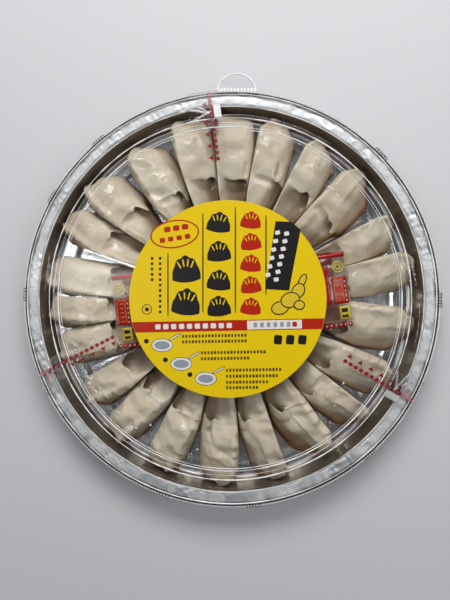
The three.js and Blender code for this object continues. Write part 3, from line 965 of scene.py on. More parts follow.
@dataclass
class Lid:
    """The clear lid: a flat top with a bead, a groove, a flange over the rim and a ribbed skirt."""

    wall: float = 0.35
    top_path: tuple[tuple[float, float], ...] = (
        (0.6, 29.4),
        (60.0, 29.4),
        (104.0, 29.4),
        (105.0, 29.5),
        (106.0, 30.1),
        (107.2, 29.9),
        (109.0, 29.9),
        (110.2, 30.2),
        (111.4, 29.6),
        (115.6, 19.8),
        (117.0, 18.9),
        (120.4, 18.9),
        (121.7, 20.8),
        (123.0, 21.2),
        (128.8, 21.2),
        (130.0, 21.1),
    )
    skirt_path: tuple[tuple[float, float], ...] = (
        (130.0, 21.1),
        (131.0, 20.6),
        (131.5, 19.8),
        (132.4, 17.8),
        (133.4, 15.6),
        (135.0, 13.6),
        (135.3, 12.8),
        (135.3, 11.0),
    )
    teeth: int = 440
    beads: tuple[tuple[float, float, float], ...] = (
        (104.2, 29.5, 0.2),
        (105.5, 29.9, 0.4),
        (108.3, 29.8, 0.14),
        (111.1, 29.75, 0.46),
        (121.9, 21.0, 0.34),
        (129.5, 21.1, 0.42),
    )
    moisture: tuple[tuple[float, float, float, float, int], ...] = (
        (203, 9, 100, 3.0, 26),
        (214, 4, 99, 2.5, 10),
        (230, 5, 99, 2.0, 12),
        (45, 3, 91, 3.5, 9),
        (320, 6, 88, 6.0, 5),
        (250, 12, 92, 9.0, 7),
    )
    lugs: tuple[float, ...] = (43.4, 129.3, 149.8, 178.7, 251.6, 276.9, 312.4, 359.7)
    tab_angle: float = 87.7
    tab_half: float = 13.4
    tab_reach: float = 147.5
    skirt_bottom: float = 11.0

    def shell(
        self, path: np.ndarray, angles: np.ndarray, shift: Callable | None = None, ring: bool = True
    ) -> Surface:
        """A closed sheet of revolution with both its faces.

        Args:
            path: The outer face's radius and height.
            angles: Angles in radians.
            shift: Moves a face, given its points of radius and height, outwards by angle.
            ring: False where the path starts on the axis.

        Returns:
            The surface.
        """
        inner = other_face(path, self.wall)
        if not ring:
            inner[0, 0] = path[0, 0]
        faces = []
        for face in (path, inner):
            radius, height = face[:, :1] + 0 * angles, face[:, 1:2] + 0 * angles
            if shift:
                radius = radius + shift(face, angles)
            faces.append(revolved(np.stack([radius, height], -1), angles))
        return closed_grid(np.vstack([faces[0], faces[1][::-1]]), ring=ring)

    def skirt_shift(self, face: np.ndarray, angles: np.ndarray) -> np.ndarray:
        """The low lugs on the skirt's lower part."""
        height = face[:, 1:2]
        low = ramp(height, 11.6, 12.4) * (1 - ramp(height, 16.4, 17.8))
        foot, top = math.cos(6.2 / 135), math.cos(4.4 / 135)
        spread = sum(ramp(np.cos(angles - math.radians(lug)), foot, top) for lug in self.lugs)
        return 1.6 * low * spread

    def rim_beads(self) -> list[Surface]:
        """Fine moulded beads along the lid's edges: rings whose thickness rises and falls along them, painted
        white as highlights.
        """
        angles = np.linspace(0, TURN, 600, endpoint=False)
        tube = np.radians(np.arange(0, 360, 60))[:, None]
        rings = []
        for k, (radius, height, thick) in enumerate(self.beads):
            sweep = np.stack([np.cos(angles), np.sin(angles), 0 * angles], -1) * radius
            uneven = 0.8 + 0.25 * ripple(sweep, 7.0, 70 + k) + 0.3 * ripple(sweep, 38, 80 + k)
            swell = thick * np.clip(uneven, 0.45, 1.15)
            path = np.stack([radius + swell * np.cos(tube), height + swell * np.sin(tube)], -1)
            # Painted highlight: shade 1 makes each bead white, for the glint along it.
            rings.append(closed_grid(revolved(path, angles), ring=True, shade=np.ones((6, 600))))
        return rings

    def rim_teeth(self) -> list[Surface]:
        """The row of small upright teeth on the sloping band, each a short bar down the slope, painted white
        as highlights.
        """
        top, low = np.array([131.7, 19.9]), np.array([133.3, 16.2])
        slope = (low - top) / np.linalg.norm(low - top)
        out = np.array([-slope[1], slope[0]])
        teeth = []
        for k in range(self.teeth):
            angle = TURN * k / self.teeth
            c, s = math.cos(angle), math.sin(angle)
            rows = []
            for place in (top, low):
                ring = [(-0.5, -0.1), (-0.42, 0.55), (0.42, 0.55), (0.5, -0.1)]
                spots = [(place + out * lift, side) for side, lift in ring]
                rows.append([(r * c - side * s, r * s + side * c, z) for (r, z), side in spots])
            # Painted highlight: shade 1 makes each tooth white, for its glint.
            teeth.append(closed_grid(np.array(rows), shade=np.ones((2, 4))))
        return teeth

    def drops(self) -> list[Surface]:
        """Small drops of moisture that cling in patches under the lid's top, each a flattened ball, painted
        white as highlights.
        """
        random = np.random.default_rng(8)
        around = np.radians(np.arange(0, 360, 45))
        down = np.radians(np.array([-70, -35, 0, 35, 70]))[:, None]
        drops = []
        for angle, spread, radius, width, count in self.moisture:
            for _ in range(count):
                turn = math.radians(angle + random.uniform(-spread, spread))
                away = radius + random.uniform(-width, width)
                size = random.uniform(0.25, 0.6)
                long = size * random.uniform(1.0, 2.2)
                side = long * np.cos(down) * np.cos(around)
                out = size * np.cos(down) * np.sin(around) + away
                height = 28.9 + 0.3 * size * np.sin(down) + 0 * around
                x = out * math.cos(turn) - side * math.sin(turn)
                y = out * math.sin(turn) + side * math.cos(turn)
                # Painted highlight: shade 1 makes each drop white, for its glint.
                drops.append(closed_grid(np.stack([x, y, height], -1), shade=np.ones((5, 8))))
        return drops

    def tab(self) -> list[Surface]:
        """The pull tab: a thin half disc, the bead round it, and short ribs across its root."""
        root, thick = 132.9, 0.6
        centre = self.tab_reach - self.tab_half
        sweep = np.radians(np.linspace(-90, 90, 41))
        arc = np.stack([centre + self.tab_half * np.cos(sweep), self.tab_half * np.sin(sweep)], 1)
        outline = np.vstack([[[root, -self.tab_half]], arc, [[root, self.tab_half]]])
        thin = plate(outline, self.skirt_bottom, self.skirt_bottom + 0.4)
        tube = np.radians(np.arange(0, 360, 36))[None, :]
        reach = np.radians(np.linspace(-83, 83, 45))[:, None]
        radius = self.tab_half - thick + thick * np.cos(tube)
        height = self.skirt_bottom + 0.75 + thick * np.sin(tube) + 0 * reach
        bead = np.stack([centre + radius * np.cos(reach), radius * np.sin(reach), height], -1)
        parts = [closed_grid(bead)]
        for place in np.arange(-12.1, 12.2, 2.2):
            rib = np.array([place, 0]) + bar(1.3, 2.2) + np.array([0, 136.5])
            parts.append(plate(rib[:, ::-1], self.skirt_bottom + 0.3, self.skirt_bottom + 1.4))
        # Painted highlight: shade 1 makes the bead and the ribs white, for their glints.
        for part in parts:
            part.shade += 1
        parts.append(thin)
        turn = math.radians(self.tab_angle)
        c, s = math.cos(turn), math.sin(turn)
        spin = np.array([[c, s, 0], [-s, c, 0], [0, 0, 1]])
        for part in parts:
            part.points = part.points @ spin
        return parts

    def build(self) -> None:
        """Makes the top with its flange, the skirt, the beads, teeth and drops, and the tab."""
        clear = ClearPlastic().make()
        angles = np.linspace(0, TURN, 480, endpoint=False)
        top = self.shell(rounded(self.top_path), angles, ring=False)
        radius = np.linalg.norm(top.points[:, :2], axis=1)
        # Painted highlight: a patchy white sheen on the flange over the foil rim.
        flange = ramp(radius, 123.0, 123.8) * (1 - ramp(radius, 128.4, 129.2))
        sweep = np.column_stack([top.points[:, :2] / (radius[:, None] + 1e-9) * 126, 0 * radius])
        painted_sheen = 0.2 + 0.16 * ripple(sweep, 16, 33) + 0.1 * ripple(sweep, 5, 34)
        top.shade = flange * np.clip(painted_sheen, 0.04, 0.8)
        make_piece("lid_top", [top], clear, ["lid"])
        fine = np.linspace(0, TURN, 900, endpoint=False)
        skirt = self.shell(rounded(self.skirt_path, 1), fine, self.skirt_shift)
        height = skirt.points[:, 2]
        # Painted shade: a dark line at the top of the skirt, and darkened gaps between the teeth.
        skirt.shade = -1.0 * hump(height, 20.7, 0.75) - 0.8 * ramp(height, 15.4, 16.4) * (height < 20.2)
        make_piece("lid_skirt", [skirt], clear)
        # Painted highlight: this plastic is painted white wherever the points hold shade 1, on beads, teeth,
        # drops and tab.
        highlight_plastic = ClearPlastic(name="clear_plastic_painted_highlight", painted_highlight=0.95).make()
        make_piece("lid_beads", self.rim_beads(), highlight_plastic)
        make_piece("lid_teeth", self.rim_teeth(), highlight_plastic, smooth=False)
        make_piece("lid_drops", self.drops(), highlight_plastic)
        make_piece("lid_tab", self.tab(), highlight_plastic, smooth=False)


# The label


def turned(outline: np.ndarray, degrees: float) -> np.ndarray:
    """An outline turned about its own origin."""
    angle = math.radians(degrees)
    return outline @ np.array([[math.cos(angle), math.sin(angle)], [-math.sin(angle), math.cos(angle)]])


def bar(width: float, height: float, degrees: float = 0.0) -> np.ndarray:
    """The outline of a bar with rounded ends: a squared circle of power 0.4."""
    sweep = np.linspace(0, TURN, 20, endpoint=False)
    x = signed_power(np.cos(sweep), 0.4) * width / 2
    y = signed_power(np.sin(sweep), 0.4) * height / 2
    return turned(np.stack([x, y], 1), degrees)


def box(width: float, height: float) -> np.ndarray:
    """The outline of a plain rectangle."""
    return np.array([[-1, -1], [1, -1], [1, 1], [-1, 1]]) * [width / 2, height / 2]


def oval(width: float, height: float, degrees: float = 0.0) -> np.ndarray:
    """The outline of an ellipse."""
    sweep = np.linspace(0, TURN, 36, endpoint=False)
    return turned(np.stack([np.cos(sweep) * width / 2, np.sin(sweep) * height / 2], 1), degrees)


def half_moon(width: float, height: float, degrees: float = 0.0) -> np.ndarray:
    """The outline of a plain dumpling: a gently bowed foot and an arched back with five shallow scallops."""
    sweep = np.linspace(0, math.pi, 61)
    scallop = 1 + 0.09 * np.abs(np.sin(5 * sweep)) * np.sin(sweep)
    back = np.stack([np.cos(sweep) * width / 2 * scallop, (np.sin(sweep) * scallop - 0.42) * height], 1)
    foot_x = np.linspace(-0.47, 0.47, 17)
    foot = np.stack([foot_x * width, (-0.56 + 0.5 * foot_x**2) * height], 1)
    return turned(np.vstack([back, foot]), degrees)


@dataclass
class Label:
    """The round paper label, with plain printed shapes.

    Sizes are in millimetres. Places are in pixels of the photograph, from the label's middle, with y down.

    Attributes:
        radius: Radius of the paper.
        radius_px: The same radius in the photograph's pixels.
        pixel: Millimetres to a pixel.
        bottom: Height of the paper's lower face.
        top: Height of its upper face.
        step: Thickness of one layer of print.
        turn: How far the band is turned, in degrees.
        band_y: Place of the middle of the band.
    """

    radius: float = 60.6
    radius_px: float = 98.9
    pixel: float = 0.613
    bottom: float = 29.5
    top: float = 29.8
    step: float = 0.03
    turn: float = 1.3
    band_y: float = 26.6
    yellow: Colour = linear(240, 206, 2)
    red: Colour = linear(184, 34, 10)
    black: Colour = linear(30, 28, 30)
    white: Colour = linear(236, 234, 230)
    prints: dict[str, list[Surface]] = field(default_factory=dict)

    def stamp(self, ink: str, outline: np.ndarray, at: tuple[float, float], layer: int = 1) -> None:
        """Prints an outline as a very thin plate.

        Args:
            ink: The ink's name.
            outline: The shape about its own middle, in millimetres.
            at: Its middle in pixels, x right and y down from the label's middle.
            layer: How many prints lie under it, plus one.
        """
        place = np.array([at[0], -at[1]]) * self.radius / self.radius_px
        top = self.top + self.step * layer
        self.prints.setdefault(ink, []).append(plate(outline + place, self.top - 0.1, top))

    def ring(
        self,
        ink: str,
        inside: str,
        width: float,
        height: float,
        line: float,
        degrees: float,
        at: tuple[float, float],
        layer: int = 1,
    ) -> None:
        """An ellipse with an outline: the ink's oval, and on it a smaller oval of the colour inside.

        Args:
            ink: The outline's ink.
            inside: The ink inside it.
            width: Its width in millimetres.
            height: Its height in millimetres.
            line: The outline's width in millimetres.
            degrees: Its turn.
            at: Its middle in pixels.
            layer: How many prints lie under it, plus one.
        """
        self.stamp(ink, oval(width, height, degrees), at, layer)
        self.stamp(inside, oval(width - 2 * line, height - 2 * line, degrees), at, layer + 1)

    def dumpling(
        self, ink: str, width: float, height: float, degrees: float, at: tuple[float, float]
    ) -> None:
        """A plain dumpling with four pale pleats fanned across its back."""
        self.stamp(ink, half_moon(width, height, degrees), at)
        for k in (-1.5, -0.5, 0.5, 1.5):
            lean = 90 - 17 * k
            spot = turned(np.array([[k * 0.155 * width, (0.33 - 0.035 * k * k) * height]]), degrees)[0]
            pleat = bar(0.34 * height, 0.055 * height + 0.12, lean + degrees) + spot
            self.stamp("yellow_top", pleat, at, 2)

    def main_columns(self) -> None:
        """The big marks: columns of plain dumpling shapes between thin upright rules."""
        rules = ((-59.3, -46.5, 17.8), (-24, -86.7, 14.4), (8.6, -92.7, 14.4), (39.1, -84, -3.7))
        for x, top, bottom in rules:
            self.stamp("black", bar(0.8, (bottom - top) * self.pixel), (x, (top + bottom) / 2))
        for y, tilt in ((-76, -6), (-47, 4), (-18, -4), (8, 5)):
            self.dumpling("black", 14.6, 10.4, tilt, (-8, y))
        for y, tilt in ((-29, 4), (4, -5)):
            self.dumpling("black", 17.6, 13.6, tilt, (-41, y))
        for k in range(5):
            self.dumpling("red", 12.6, 8.6, (-5, 6)[k % 2], (24, -78 + 21.5 * k))

    def side_marks(self) -> None:
        """The slanted dark sign, the knobbly root, the ringed marks and the small upright rows."""
        sign = np.array([[48.5, -77.3], [63.9, -76.7], [73.3, -68.6], [61.9, -8.3], [38.5, -9.7]])
        place = sign.mean(0)
        self.stamp("black", (sign - place) * [self.pixel, -self.pixel], tuple(place))
        for k in range(7):
            self.stamp("white", bar(3.0, 2.5, 12), (59.5 - 1.71 * k, -65 + 7.6 * k), 2)
        for k in range(6):
            self.stamp("white", bar(3.0, 2.5, 12), (50.5 - 1.9 * k, -66 + 8.4 * k), 2)
        knobs = (
            (75, -18, 4.6, 9.4, -24),
            (71, -8, 8, 10, -30),
            (53, 9, 11, 8.4, 12),
            (63, 1, 12, 9.6, 20),
            (72, 6, 7, 6, 0),
        )
        for k, (x, y, wide, tall, tilt) in enumerate(knobs):
            self.ring("black", "ochre", wide, tall, 0.7, tilt, (x, y), 1 + 2 * k)
        self.ring("red", "yellow_top", 30.6, 17.4, 0.9, 8, (-52.6, -65.3))
        for k in range(3):
            self.stamp("red", bar(4.0, 3.4, 8), (-60 + 9 * k, -70 - 1.3 * k), 3)
        for k in range(4):
            self.stamp("red", bar(3.4, 3.0, 8), (-65 + 8.5 * k, -59 - 1.3 * k), 3)
        for k in range(11):
            self.stamp("black", bar(1.6, 1.7), (-67.3, -41 + 5.4 * k))
        for k in range(5):
            self.stamp("black", bar(1.6, 1.7), (-75.5, -41 + 5.4 * k))
        self.ring("black", "yellow_top", 6.4, 6.4, 0.5, 0, (-80.7, 10.5))
        self.stamp("black", oval(2.6, 2.6), (-80.7, 10.5), 3)

    def band(self) -> None:
        """The red band across the label, cut to its round edge, with pale marks and a pale box."""
        low, high = -31.9, -21.3
        sweep = np.linspace(-1, 1, 13)
        edges = []
        for side in (1, -1):
            y = mix(low, high, (1 + side * sweep) / 2) * self.pixel
            edges.append(np.stack([side * np.sqrt((self.radius - 0.15) ** 2 - y**2), y], 1))
        outline = turned(np.vstack(edges), self.turn)
        x, y = outline.mean(0) * self.radius_px / self.radius
        self.stamp("red", outline - outline.mean(0), (x, -y))
        marks = [("white", 3.3, 3.2, -69.5 + 8 * k, 2) for k in range(10)]
        marks += [("grey", 2.2, 3.0, 28.5 + 6.6 * k, 3) for k in range(6)]
        marks += [("red", 2.8, 3.0, 67.5, 3)]
        rise, pale_box = math.sin(math.radians(self.turn)), 47.5
        self.stamp("white", turned(box(33.2, 5.4), self.turn), (pale_box, self.band_y - pale_box * rise), 2)
        for ink, wide, tall, x, layer in marks:
            self.stamp(ink, bar(wide, tall, self.turn), (x, self.band_y - x * rise), layer)

    def steps(self) -> None:
        """The three pans with their rows of short marks, and the three dark marks at the right."""
        spots = ((-65.3, 46.6), (-45.9, 65.3), (-21.1, 80.0))
        lines = (
            ((-44, 37.6, 66), (-44, 43.2, 66)),
            ((-25, 54, 69), (-25, 60, 52)),
            ((0.3, 71.3, 58), (0.3, 77.4, 56), (0.3, 83.4, 44), (0.3, 88.8, 34)),
        )
        for (x, y), texts in zip(spots, lines):
            self.ring("black", "white", 13.4, 8.4, 0.35, 0, (x, y))
            self.stamp("grey", oval(9.6, 5.0), (x, y), 3)
            self.stamp("black", bar(8.2, 1.5, 30), (x + 13, y - 8.6))
            self.stamp("white", bar(7.4, 0.8, 30), (x + 13, y - 8.6), 2)
            self.stamp("black", oval(3.0, 3.0), (x - 16, y - 4))
            for left, row, length in texts:
                for k in range(int(length / 3.3)):
                    wide = (1.2, 1.7, 1.0, 1.5, 1.35)[(k * k + 3 * k) % 5]
                    self.stamp("brown", bar(wide, 1.9), (left + 3.3 * k, row - 0.075 * k))
        for k in range(3):
            self.stamp("black", bar(5.0, 5.8, -6), (51 + 12 * k, 40.5))

    def build(self) -> None:
        """Makes the paper disc and one piece for each ink."""
        sweep = np.linspace(0, TURN, 144, endpoint=False)
        edge = self.radius * np.stack([np.cos(sweep), np.sin(sweep)], 1)
        paper = Ink("label_yellow", self.yellow, 0.38).make()
        disc = plate(edge, self.bottom, self.top)
        make_piece("label_paper", [disc], paper, ["label"], smooth=False)
        self.main_columns()
        self.side_marks()
        self.band()
        self.steps()
        inks = {
            "black": self.black,
            "red": self.red,
            "white": self.white,
            "yellow_top": self.yellow,
            "ochre": linear(226, 196, 50),
            "grey": linear(150, 158, 170),
            "brown": linear(90, 76, 20),
        }
        for ink, shapes in self.prints.items():
            material = Ink(f"print_{ink}", inks[ink], 0.38).make()
            make_piece(f"label_print_{ink}", shapes, material, smooth=False)


# The tapes


@dataclass(frozen=True)
class TapeInk:
    """The tape's thin print: dark red, and pale pink where the shade held at the points is 1."""

    red: Colour = linear(140, 20, 28)
    pink: Colour = linear(204, 140, 142)

    def make(self) -> bpy.types.Material:
        """Builds the material."""
        nodes = Nodes("tape_ink")
        worn = nodes.spread(nodes.noise(700, 2), 0.35, 0.65, 0.75, 1.25)
        share = nodes.sums("MULTIPLY", nodes.shade(), worn, clamp=True)
        inputs = {"Base Color": nodes.blend(share, self.red, self.pink), "Roughness": 0.35}
        return nodes.finish(nodes.add("BsdfPrincipled", inputs))


@dataclass
class Tape:
    """A strip of clear tape from the lid's top over the groove and down the skirt, with a red print.

    Attributes:
        node: The CAD node that it stands for.
        radius: Radius of the middle of its inner end.
        angle: Angle of the middle of its inner end, in degrees.
        direction: The way it runs, in degrees.
        width: Its width.
        lift: Its distance off the lid.
        thick: Its thickness.
        pitch: Distance from one printed square to the next.
        glare: How white the painted glare on its folds over the groove is, from 0 to 1.
        seed: Picks its crinkles.
        path: The height that it lies at by radius, before its lift.
    """

    node: str
    radius: float
    angle: float
    direction: float
    width: float = 20.0
    lift: float = 0.28
    thick: float = 0.12
    pitch: float = 3.65
    glare: float = 1.0
    seed: int = 1
    path: tuple[tuple[float, float], ...] = (
        (60.0, 29.4),
        (104.5, 29.4),
        (106.3, 30.0),
        (111.1, 30.0),
        (124.0, 21.2),
        (131.2, 21.2),
        (132.6, 20.0),
        (133.5, 15.8),
        (135.8, 13.2),
        (136.4, 12.0),
    )

    def axes(self) -> tuple[np.ndarray, np.ndarray, np.ndarray]:
        """The strip's start, its heading, and the way across it to the left."""
        place, way = math.radians(self.angle), math.radians(self.direction)
        start = self.radius * np.array([math.cos(place), math.sin(place)])
        heading = np.array([math.cos(way), math.sin(way)])
        return start, heading, np.array([-heading[1], heading[0]])

    def point(self, run: np.ndarray, across: np.ndarray, lift: float) -> np.ndarray:
        """Places on the film: the height is the path's at that radius, and the lift goes up and outwards.

        Args:
            run: Distance along the strip, as seen from above.
            across: Distance to the left of its middle.
            lift: Distance off the lid.

        Returns:
            Array of x, y, z.
        """
        start, heading, side = self.axes()
        flat = start + np.multiply.outer(run, heading) + np.multiply.outer(across, side)
        radius = np.linalg.norm(flat, axis=-1)
        radii, heights = np.array(self.path).T
        height = np.interp(radius, radii, heights)
        bridge = ramp(radius, 111.5, 115) * (1 - ramp(radius, 121, 124))
        crinkle = ripple(np.concatenate([flat, height[..., None]], -1), 6.0, self.seed) * 0.35 * bridge
        steep = ramp(radius, 131.0, 132.6)
        away = flat / radius[..., None] * (lift * steep)[..., None]
        return np.concatenate([flat + away, (height + crinkle + lift * (1 - 0.6 * steep))[..., None]], -1)

    def run_to(self, radius: np.ndarray, across: np.ndarray) -> np.ndarray:
        """How far along the strip a line at some distance across it meets a circle about the axis."""
        start, heading, side = self.axes()
        origin = start + np.multiply.outer(across, side)
        along = origin @ heading
        return -along + np.sqrt(along**2 - (origin**2).sum(-1) + radius**2)

    def film(self) -> Surface:
        """The clear strip: rows at chosen radii, or at its straight inner end, by places across it."""
        across = np.linspace(-self.width / 2, self.width / 2, 25)
        bridge_radii, rim_radii = np.linspace(112, 124, 13), [125, 128, 131.0, 131.8, 132.4, 132.8]
        radii = [104.5, 105.4, 106.3, 108.5, 111.1, *bridge_radii, *rim_radii, 133.2, 133.6, 134.6, 135.8]
        runs = [0 * across, *(self.run_to(radius, across) for radius in radii)]
        inner = [mix(runs[0], runs[1], k / 8) for k in range(8)]
        lines = np.array(inner + runs[1:])
        low = self.point(lines, across + 0 * lines, self.lift)
        high = self.point(lines, across + 0 * lines, self.lift + self.thick)
        radius = np.linalg.norm(high[..., :2], axis=-1)
        # Painted highlight: white glare where the film bridges the groove, a patch to one side and thin
        # folds, with painted shade beside the patch.
        bridge = ramp(radius, 111.0, 112.5) * (1 - ramp(radius, 121.5, 123.5))
        patch = ramp(-across, 5.4, 6.0) * bridge * self.glare
        fold = hump(radius - 117 - 0.45 * across, 0, 0.7) + hump(radius - 115 + 0.5 * across, 0, 0.5)
        fold = fold + hump(radius - 119 - 0.9 * across, 0, 0.5)
        # Painted shade: a dark band beside the glare patch.
        painted_dark = -0.9 * hump(across, -4.4, 0.8) * bridge * self.glare
        shine = np.clip(1.3 * patch + 1.2 * self.glare * fold * bridge * (across > -5) + painted_dark, -1, 1)
        shade = np.concatenate([0 * shine, shine[:, ::-1]], 1)
        return closed_grid(np.concatenate([low, high[:, ::-1]], 1), shade=shade)

    def mark(self, outline: np.ndarray, run: float, across: float, pale: float = 0.0) -> Surface:
        """A printed shape that follows the film: its outline's points are laid on it one by one.

        Args:
            outline: Points along and across the strip, about the shape's own middle.
            run: The middle's place along the strip.
            across: The middle's place across it.
            pale: How thin the ink is, from 0 to 1; it is paler still where the tape bends over the rim.

        Returns:
            The shape's surface.
        """
        lines, aside = run + outline[:, 0], across + outline[:, 1]
        low = self.point(lines, aside, self.lift + self.thick * 0.5)
        high = self.point(lines, aside, self.lift + self.thick + 0.05)
        grid = np.stack([low, high])
        worn = ramp(np.linalg.norm(grid[..., :2], axis=-1), 119, 126)
        return closed_grid(grid, shade=np.clip(pale + 0.75 * worn, 0, 1))

    def build(self, film: bpy.types.Material, ink: bpy.types.Material) -> None:
        """Makes the film and its red row of squares and triangles."""
        make_piece(f"{self.node}_film", [self.film()], film, [self.node])
        square, link = box(2.2, 2.2), box(1.7, 0.8)
        tip = np.array([[-1.7, -1.2], [1.7, -1.2], [0.0, 1.5]])
        first, line, edge = 1.2, -4.0, 131.0
        end = float(self.run_to(np.array(edge), np.array(line)))
        squares = np.arange(first, end, self.pitch)
        links = np.arange(first + self.pitch / 2, end, self.pitch)
        tips = np.arange(2.2, end, 2 * self.pitch)
        marks = [self.mark(square, float(run), line) for run in squares]
        marks += [self.mark(link, float(run), line, 0.6) for run in links]
        marks += [self.mark(tip, float(run), 0.1) for run in tips]
        make_piece(f"{self.node}_print", marks, ink, smooth=False)


# The sachets


@dataclass
class Sachet:
    """A pillow of sauce in printed film with clear sealed edges.

    Attributes:
        node: The CAD node that it stands for.
        x: Place of its middle.
        y: Place of its middle.
        turn: Its turn in degrees.
        width: Its width.
        length: Its length.
        seal: Width of the sealed edge.
        middle: Height of its middle.
        raised: How far a print that lies on another print stands off the film.
        seed: Picks its creases.
    """

    node: str
    x: float
    y: float
    turn: float
    width: float = 44.0
    length: float = 54.0
    seal: float = 5.0
    middle: float = 25.8
    raised: float = 0.09
    seed: int = 3

    def puff(self, across: np.ndarray, along: np.ndarray) -> np.ndarray:
        """Half the thickness: the film at the seals, and a rounded cushion of sauce inside them."""
        in_x = 1 - ramp(np.abs(across), self.width / 2 - 3 * self.seal, self.width / 2 - 0.5 * self.seal)
        in_y = 1 - ramp(np.abs(along), self.length / 2 - 3 * self.seal, self.length / 2 - self.seal)
        flat = np.stack([across, along, 0 * across], -1)
        crease = 0.14 * ripple(flat, 7.0, self.seed) * in_y
        return 0.2 + (2.2 + crease) * in_x * in_y

    def lay(self, across: np.ndarray, along: np.ndarray, side: float, lift: float = 0.0) -> np.ndarray:
        """Places on the upper or lower face, in the pack's own axes.

        Args:
            across: Distance to the right of the sachet's middle.
            along: Distance above it.
            side: 1 for the upper face and -1 for the lower.
            lift: Distance off the face.

        Returns:
            Array of x, y, z.
        """
        flat = np.stack([across, along, 0 * across], -1)
        wave = 0.25 * ripple(flat, 16.0, self.seed + 5)
        height = self.middle + wave + side * (self.puff(across, along) + lift)
        angle = math.radians(self.turn)
        x = self.x + across * math.cos(angle) - along * math.sin(angle)
        y = self.y + across * math.sin(angle) + along * math.cos(angle)
        return np.stack([x, y, height], -1)

    def pillow(self) -> Surface:
        """The whole sachet: upper and lower faces over the same grid, joined at the edges."""
        across = np.linspace(-self.width / 2, self.width / 2, 45)
        along = np.linspace(-self.length / 2, self.length / 2, 55)
        u, v = np.meshgrid(across, along, indexing="ij")
        grid = np.concatenate([self.lay(u, v, -1), self.lay(u, v, 1)[:, ::-1]], 1)
        inside = 1 - ramp(np.abs(v), self.length / 2 - self.seal - 1.0, self.length / 2 - self.seal)
        inside = inside * (1 - 0.75 * ramp(np.abs(u), self.width / 2 - 10.0, self.width / 2 - 7.0))
        inside = inside * (1 - ramp(np.abs(u), self.width / 2 - 2.0, self.width / 2 - 1.0))
        shade = np.concatenate([inside, inside[:, ::-1]], 1)
        return closed_grid(grid, shade=shade)

    def patch(self, left: float, right: float, low: float, high: float, lift: float = 0.05) -> Surface:
        """A printed rectangle that follows the upper face."""
        across = np.linspace(left, right, max(3, int((right - left) / 1.2)))
        along = np.linspace(low, high, max(3, int((high - low) / 1.2)))
        u, v = np.meshgrid(across, along, indexing="ij")
        return closed_grid(np.concatenate([self.lay(u, v, 1, -0.05), self.lay(u, v, 1, lift)[:, ::-1]], 1))

    def hoop(self, u: float, v: float, radius: float, line: float, lift: float = 0.05) -> Surface:
        """A printed ring that follows the upper face."""
        sweep = np.linspace(0, TURN, 28, endpoint=False)
        radii = np.array([radius - line, radius])
        across, along = (u + np.outer(radii, np.cos(sweep)), v + np.outer(radii, np.sin(sweep)))
        low, high = self.lay(across, along, 1, -0.05), self.lay(across, along, 1, lift)
        return closed_grid(np.concatenate([low, high[::-1]], 0), ring=True)

    def prints(self) -> dict[str, list[Surface]]:
        """The printed fields, by ink."""
        half, over = self.width / 2, self.raised
        made: dict[str, list[Surface]] = {"red": [], "orange": [], "yellow": [], "dark": [], "pale": []}
        for side in (-1, 1):
            inner, outer = sorted((side * (half - 11.5), side * (half - 2.2)))
            made["red"].append(self.patch(inner, outer, -11.0, 5.5))
            made["orange"].append(self.patch(inner + 0.8, inner + 1.5, -10.3, 4.8, over))
            made["orange"].append(self.patch(outer - 3.4, outer - 2.6, -10.3, 4.8, over))
            made["orange"].append(self.patch(inner + 0.8, outer - 2.6, 4.2, 4.8, over))
            for k in range(5):
                bar_low, dot_low = -9.4 + 2.8 * k, -9.8 + 2.9 * k
                made["orange"].append(self.patch(inner + 2.6, outer - 4.3, bar_low, bar_low + 1.2, over))
                made["pale"].append(self.patch(outer - 1.6, outer - 0.9, dot_low, dot_low + 1.0, over))
            made["yellow"].append(self.hoop(side * (half - 6.3), 11.7, 3.6, 0.8))
            made["yellow"].append(self.hoop(side * (half - 6.3), 11.7, 1.9, 0.8))
            made["yellow"].append(self.patch(inner + 2.8, outer, -21.0, -12.6))
            made["dark"].append(self.patch(inner + 4.0, outer - 1.6, -16.4, -14.0, over))
            made["dark"].append(self.patch(inner + 4.0, outer - 1.6, -19.6, -18.0, over))
        made["red"].append(self.patch(-half + 1.5, half - 1.5, 17.6, 20.6))
        made["red"].append(self.patch(-9.0, 9.0, -11.0, 12.0))
        for k in range(14):
            left = -half + 2.0 + 2.9 * k
            made["red"].append(self.patch(left, left + 2.2, -25.4, -22.6))
            made["pale"].append(self.patch(left + 0.7, left + 1.3, -24.6, -23.5, over))
        return made

    def build(self, film: bpy.types.Material, inks: dict[str, bpy.types.Material]) -> None:
        """Makes the pillow and one piece for each ink."""
        make_piece(f"{self.node}_film", [self.pillow()], film, [self.node])
        for ink, shapes in self.prints().items():
            make_piece(f"{self.node}_{ink}", shapes, inks[ink])


@dataclass(frozen=True)
class SachetFilm:
    """Clear film over dark sauce: the sauce's red brown where the shade is 1, and pale film at the seals."""

    sauce: Colour = linear(92, 34, 26)
    clear: Colour = linear(188, 172, 152)

    def make(self) -> bpy.types.Material:
        """Builds the material."""
        nodes = Nodes("sachet_film")
        shade = nodes.shade()
        uneven = nodes.spread(nodes.noise(90, 2), 0.3, 0.7, 0.75, 1.0)
        colour = nodes.blend(nodes.sums("MULTIPLY", shade, uneven), self.clear, self.sauce)
        creases = nodes.bump(nodes.noise(260, 2), 0.0002, 0.5)
        inputs = {"Base Color": colour, "Roughness": 0.16, "Normal": creases}
        body = nodes.add("BsdfPrincipled", inputs)
        seal = nodes.add("BsdfTransparent", {"Color": (0.99, 0.98, 0.97)})
        solid = nodes.spread(shade, 0.0, 0.7, 0.0, 1.0)
        return nodes.finish(nodes.add("MixShader", {0: solid, 1: seal.outputs[0], 2: body.outputs[0]}))


# The studio


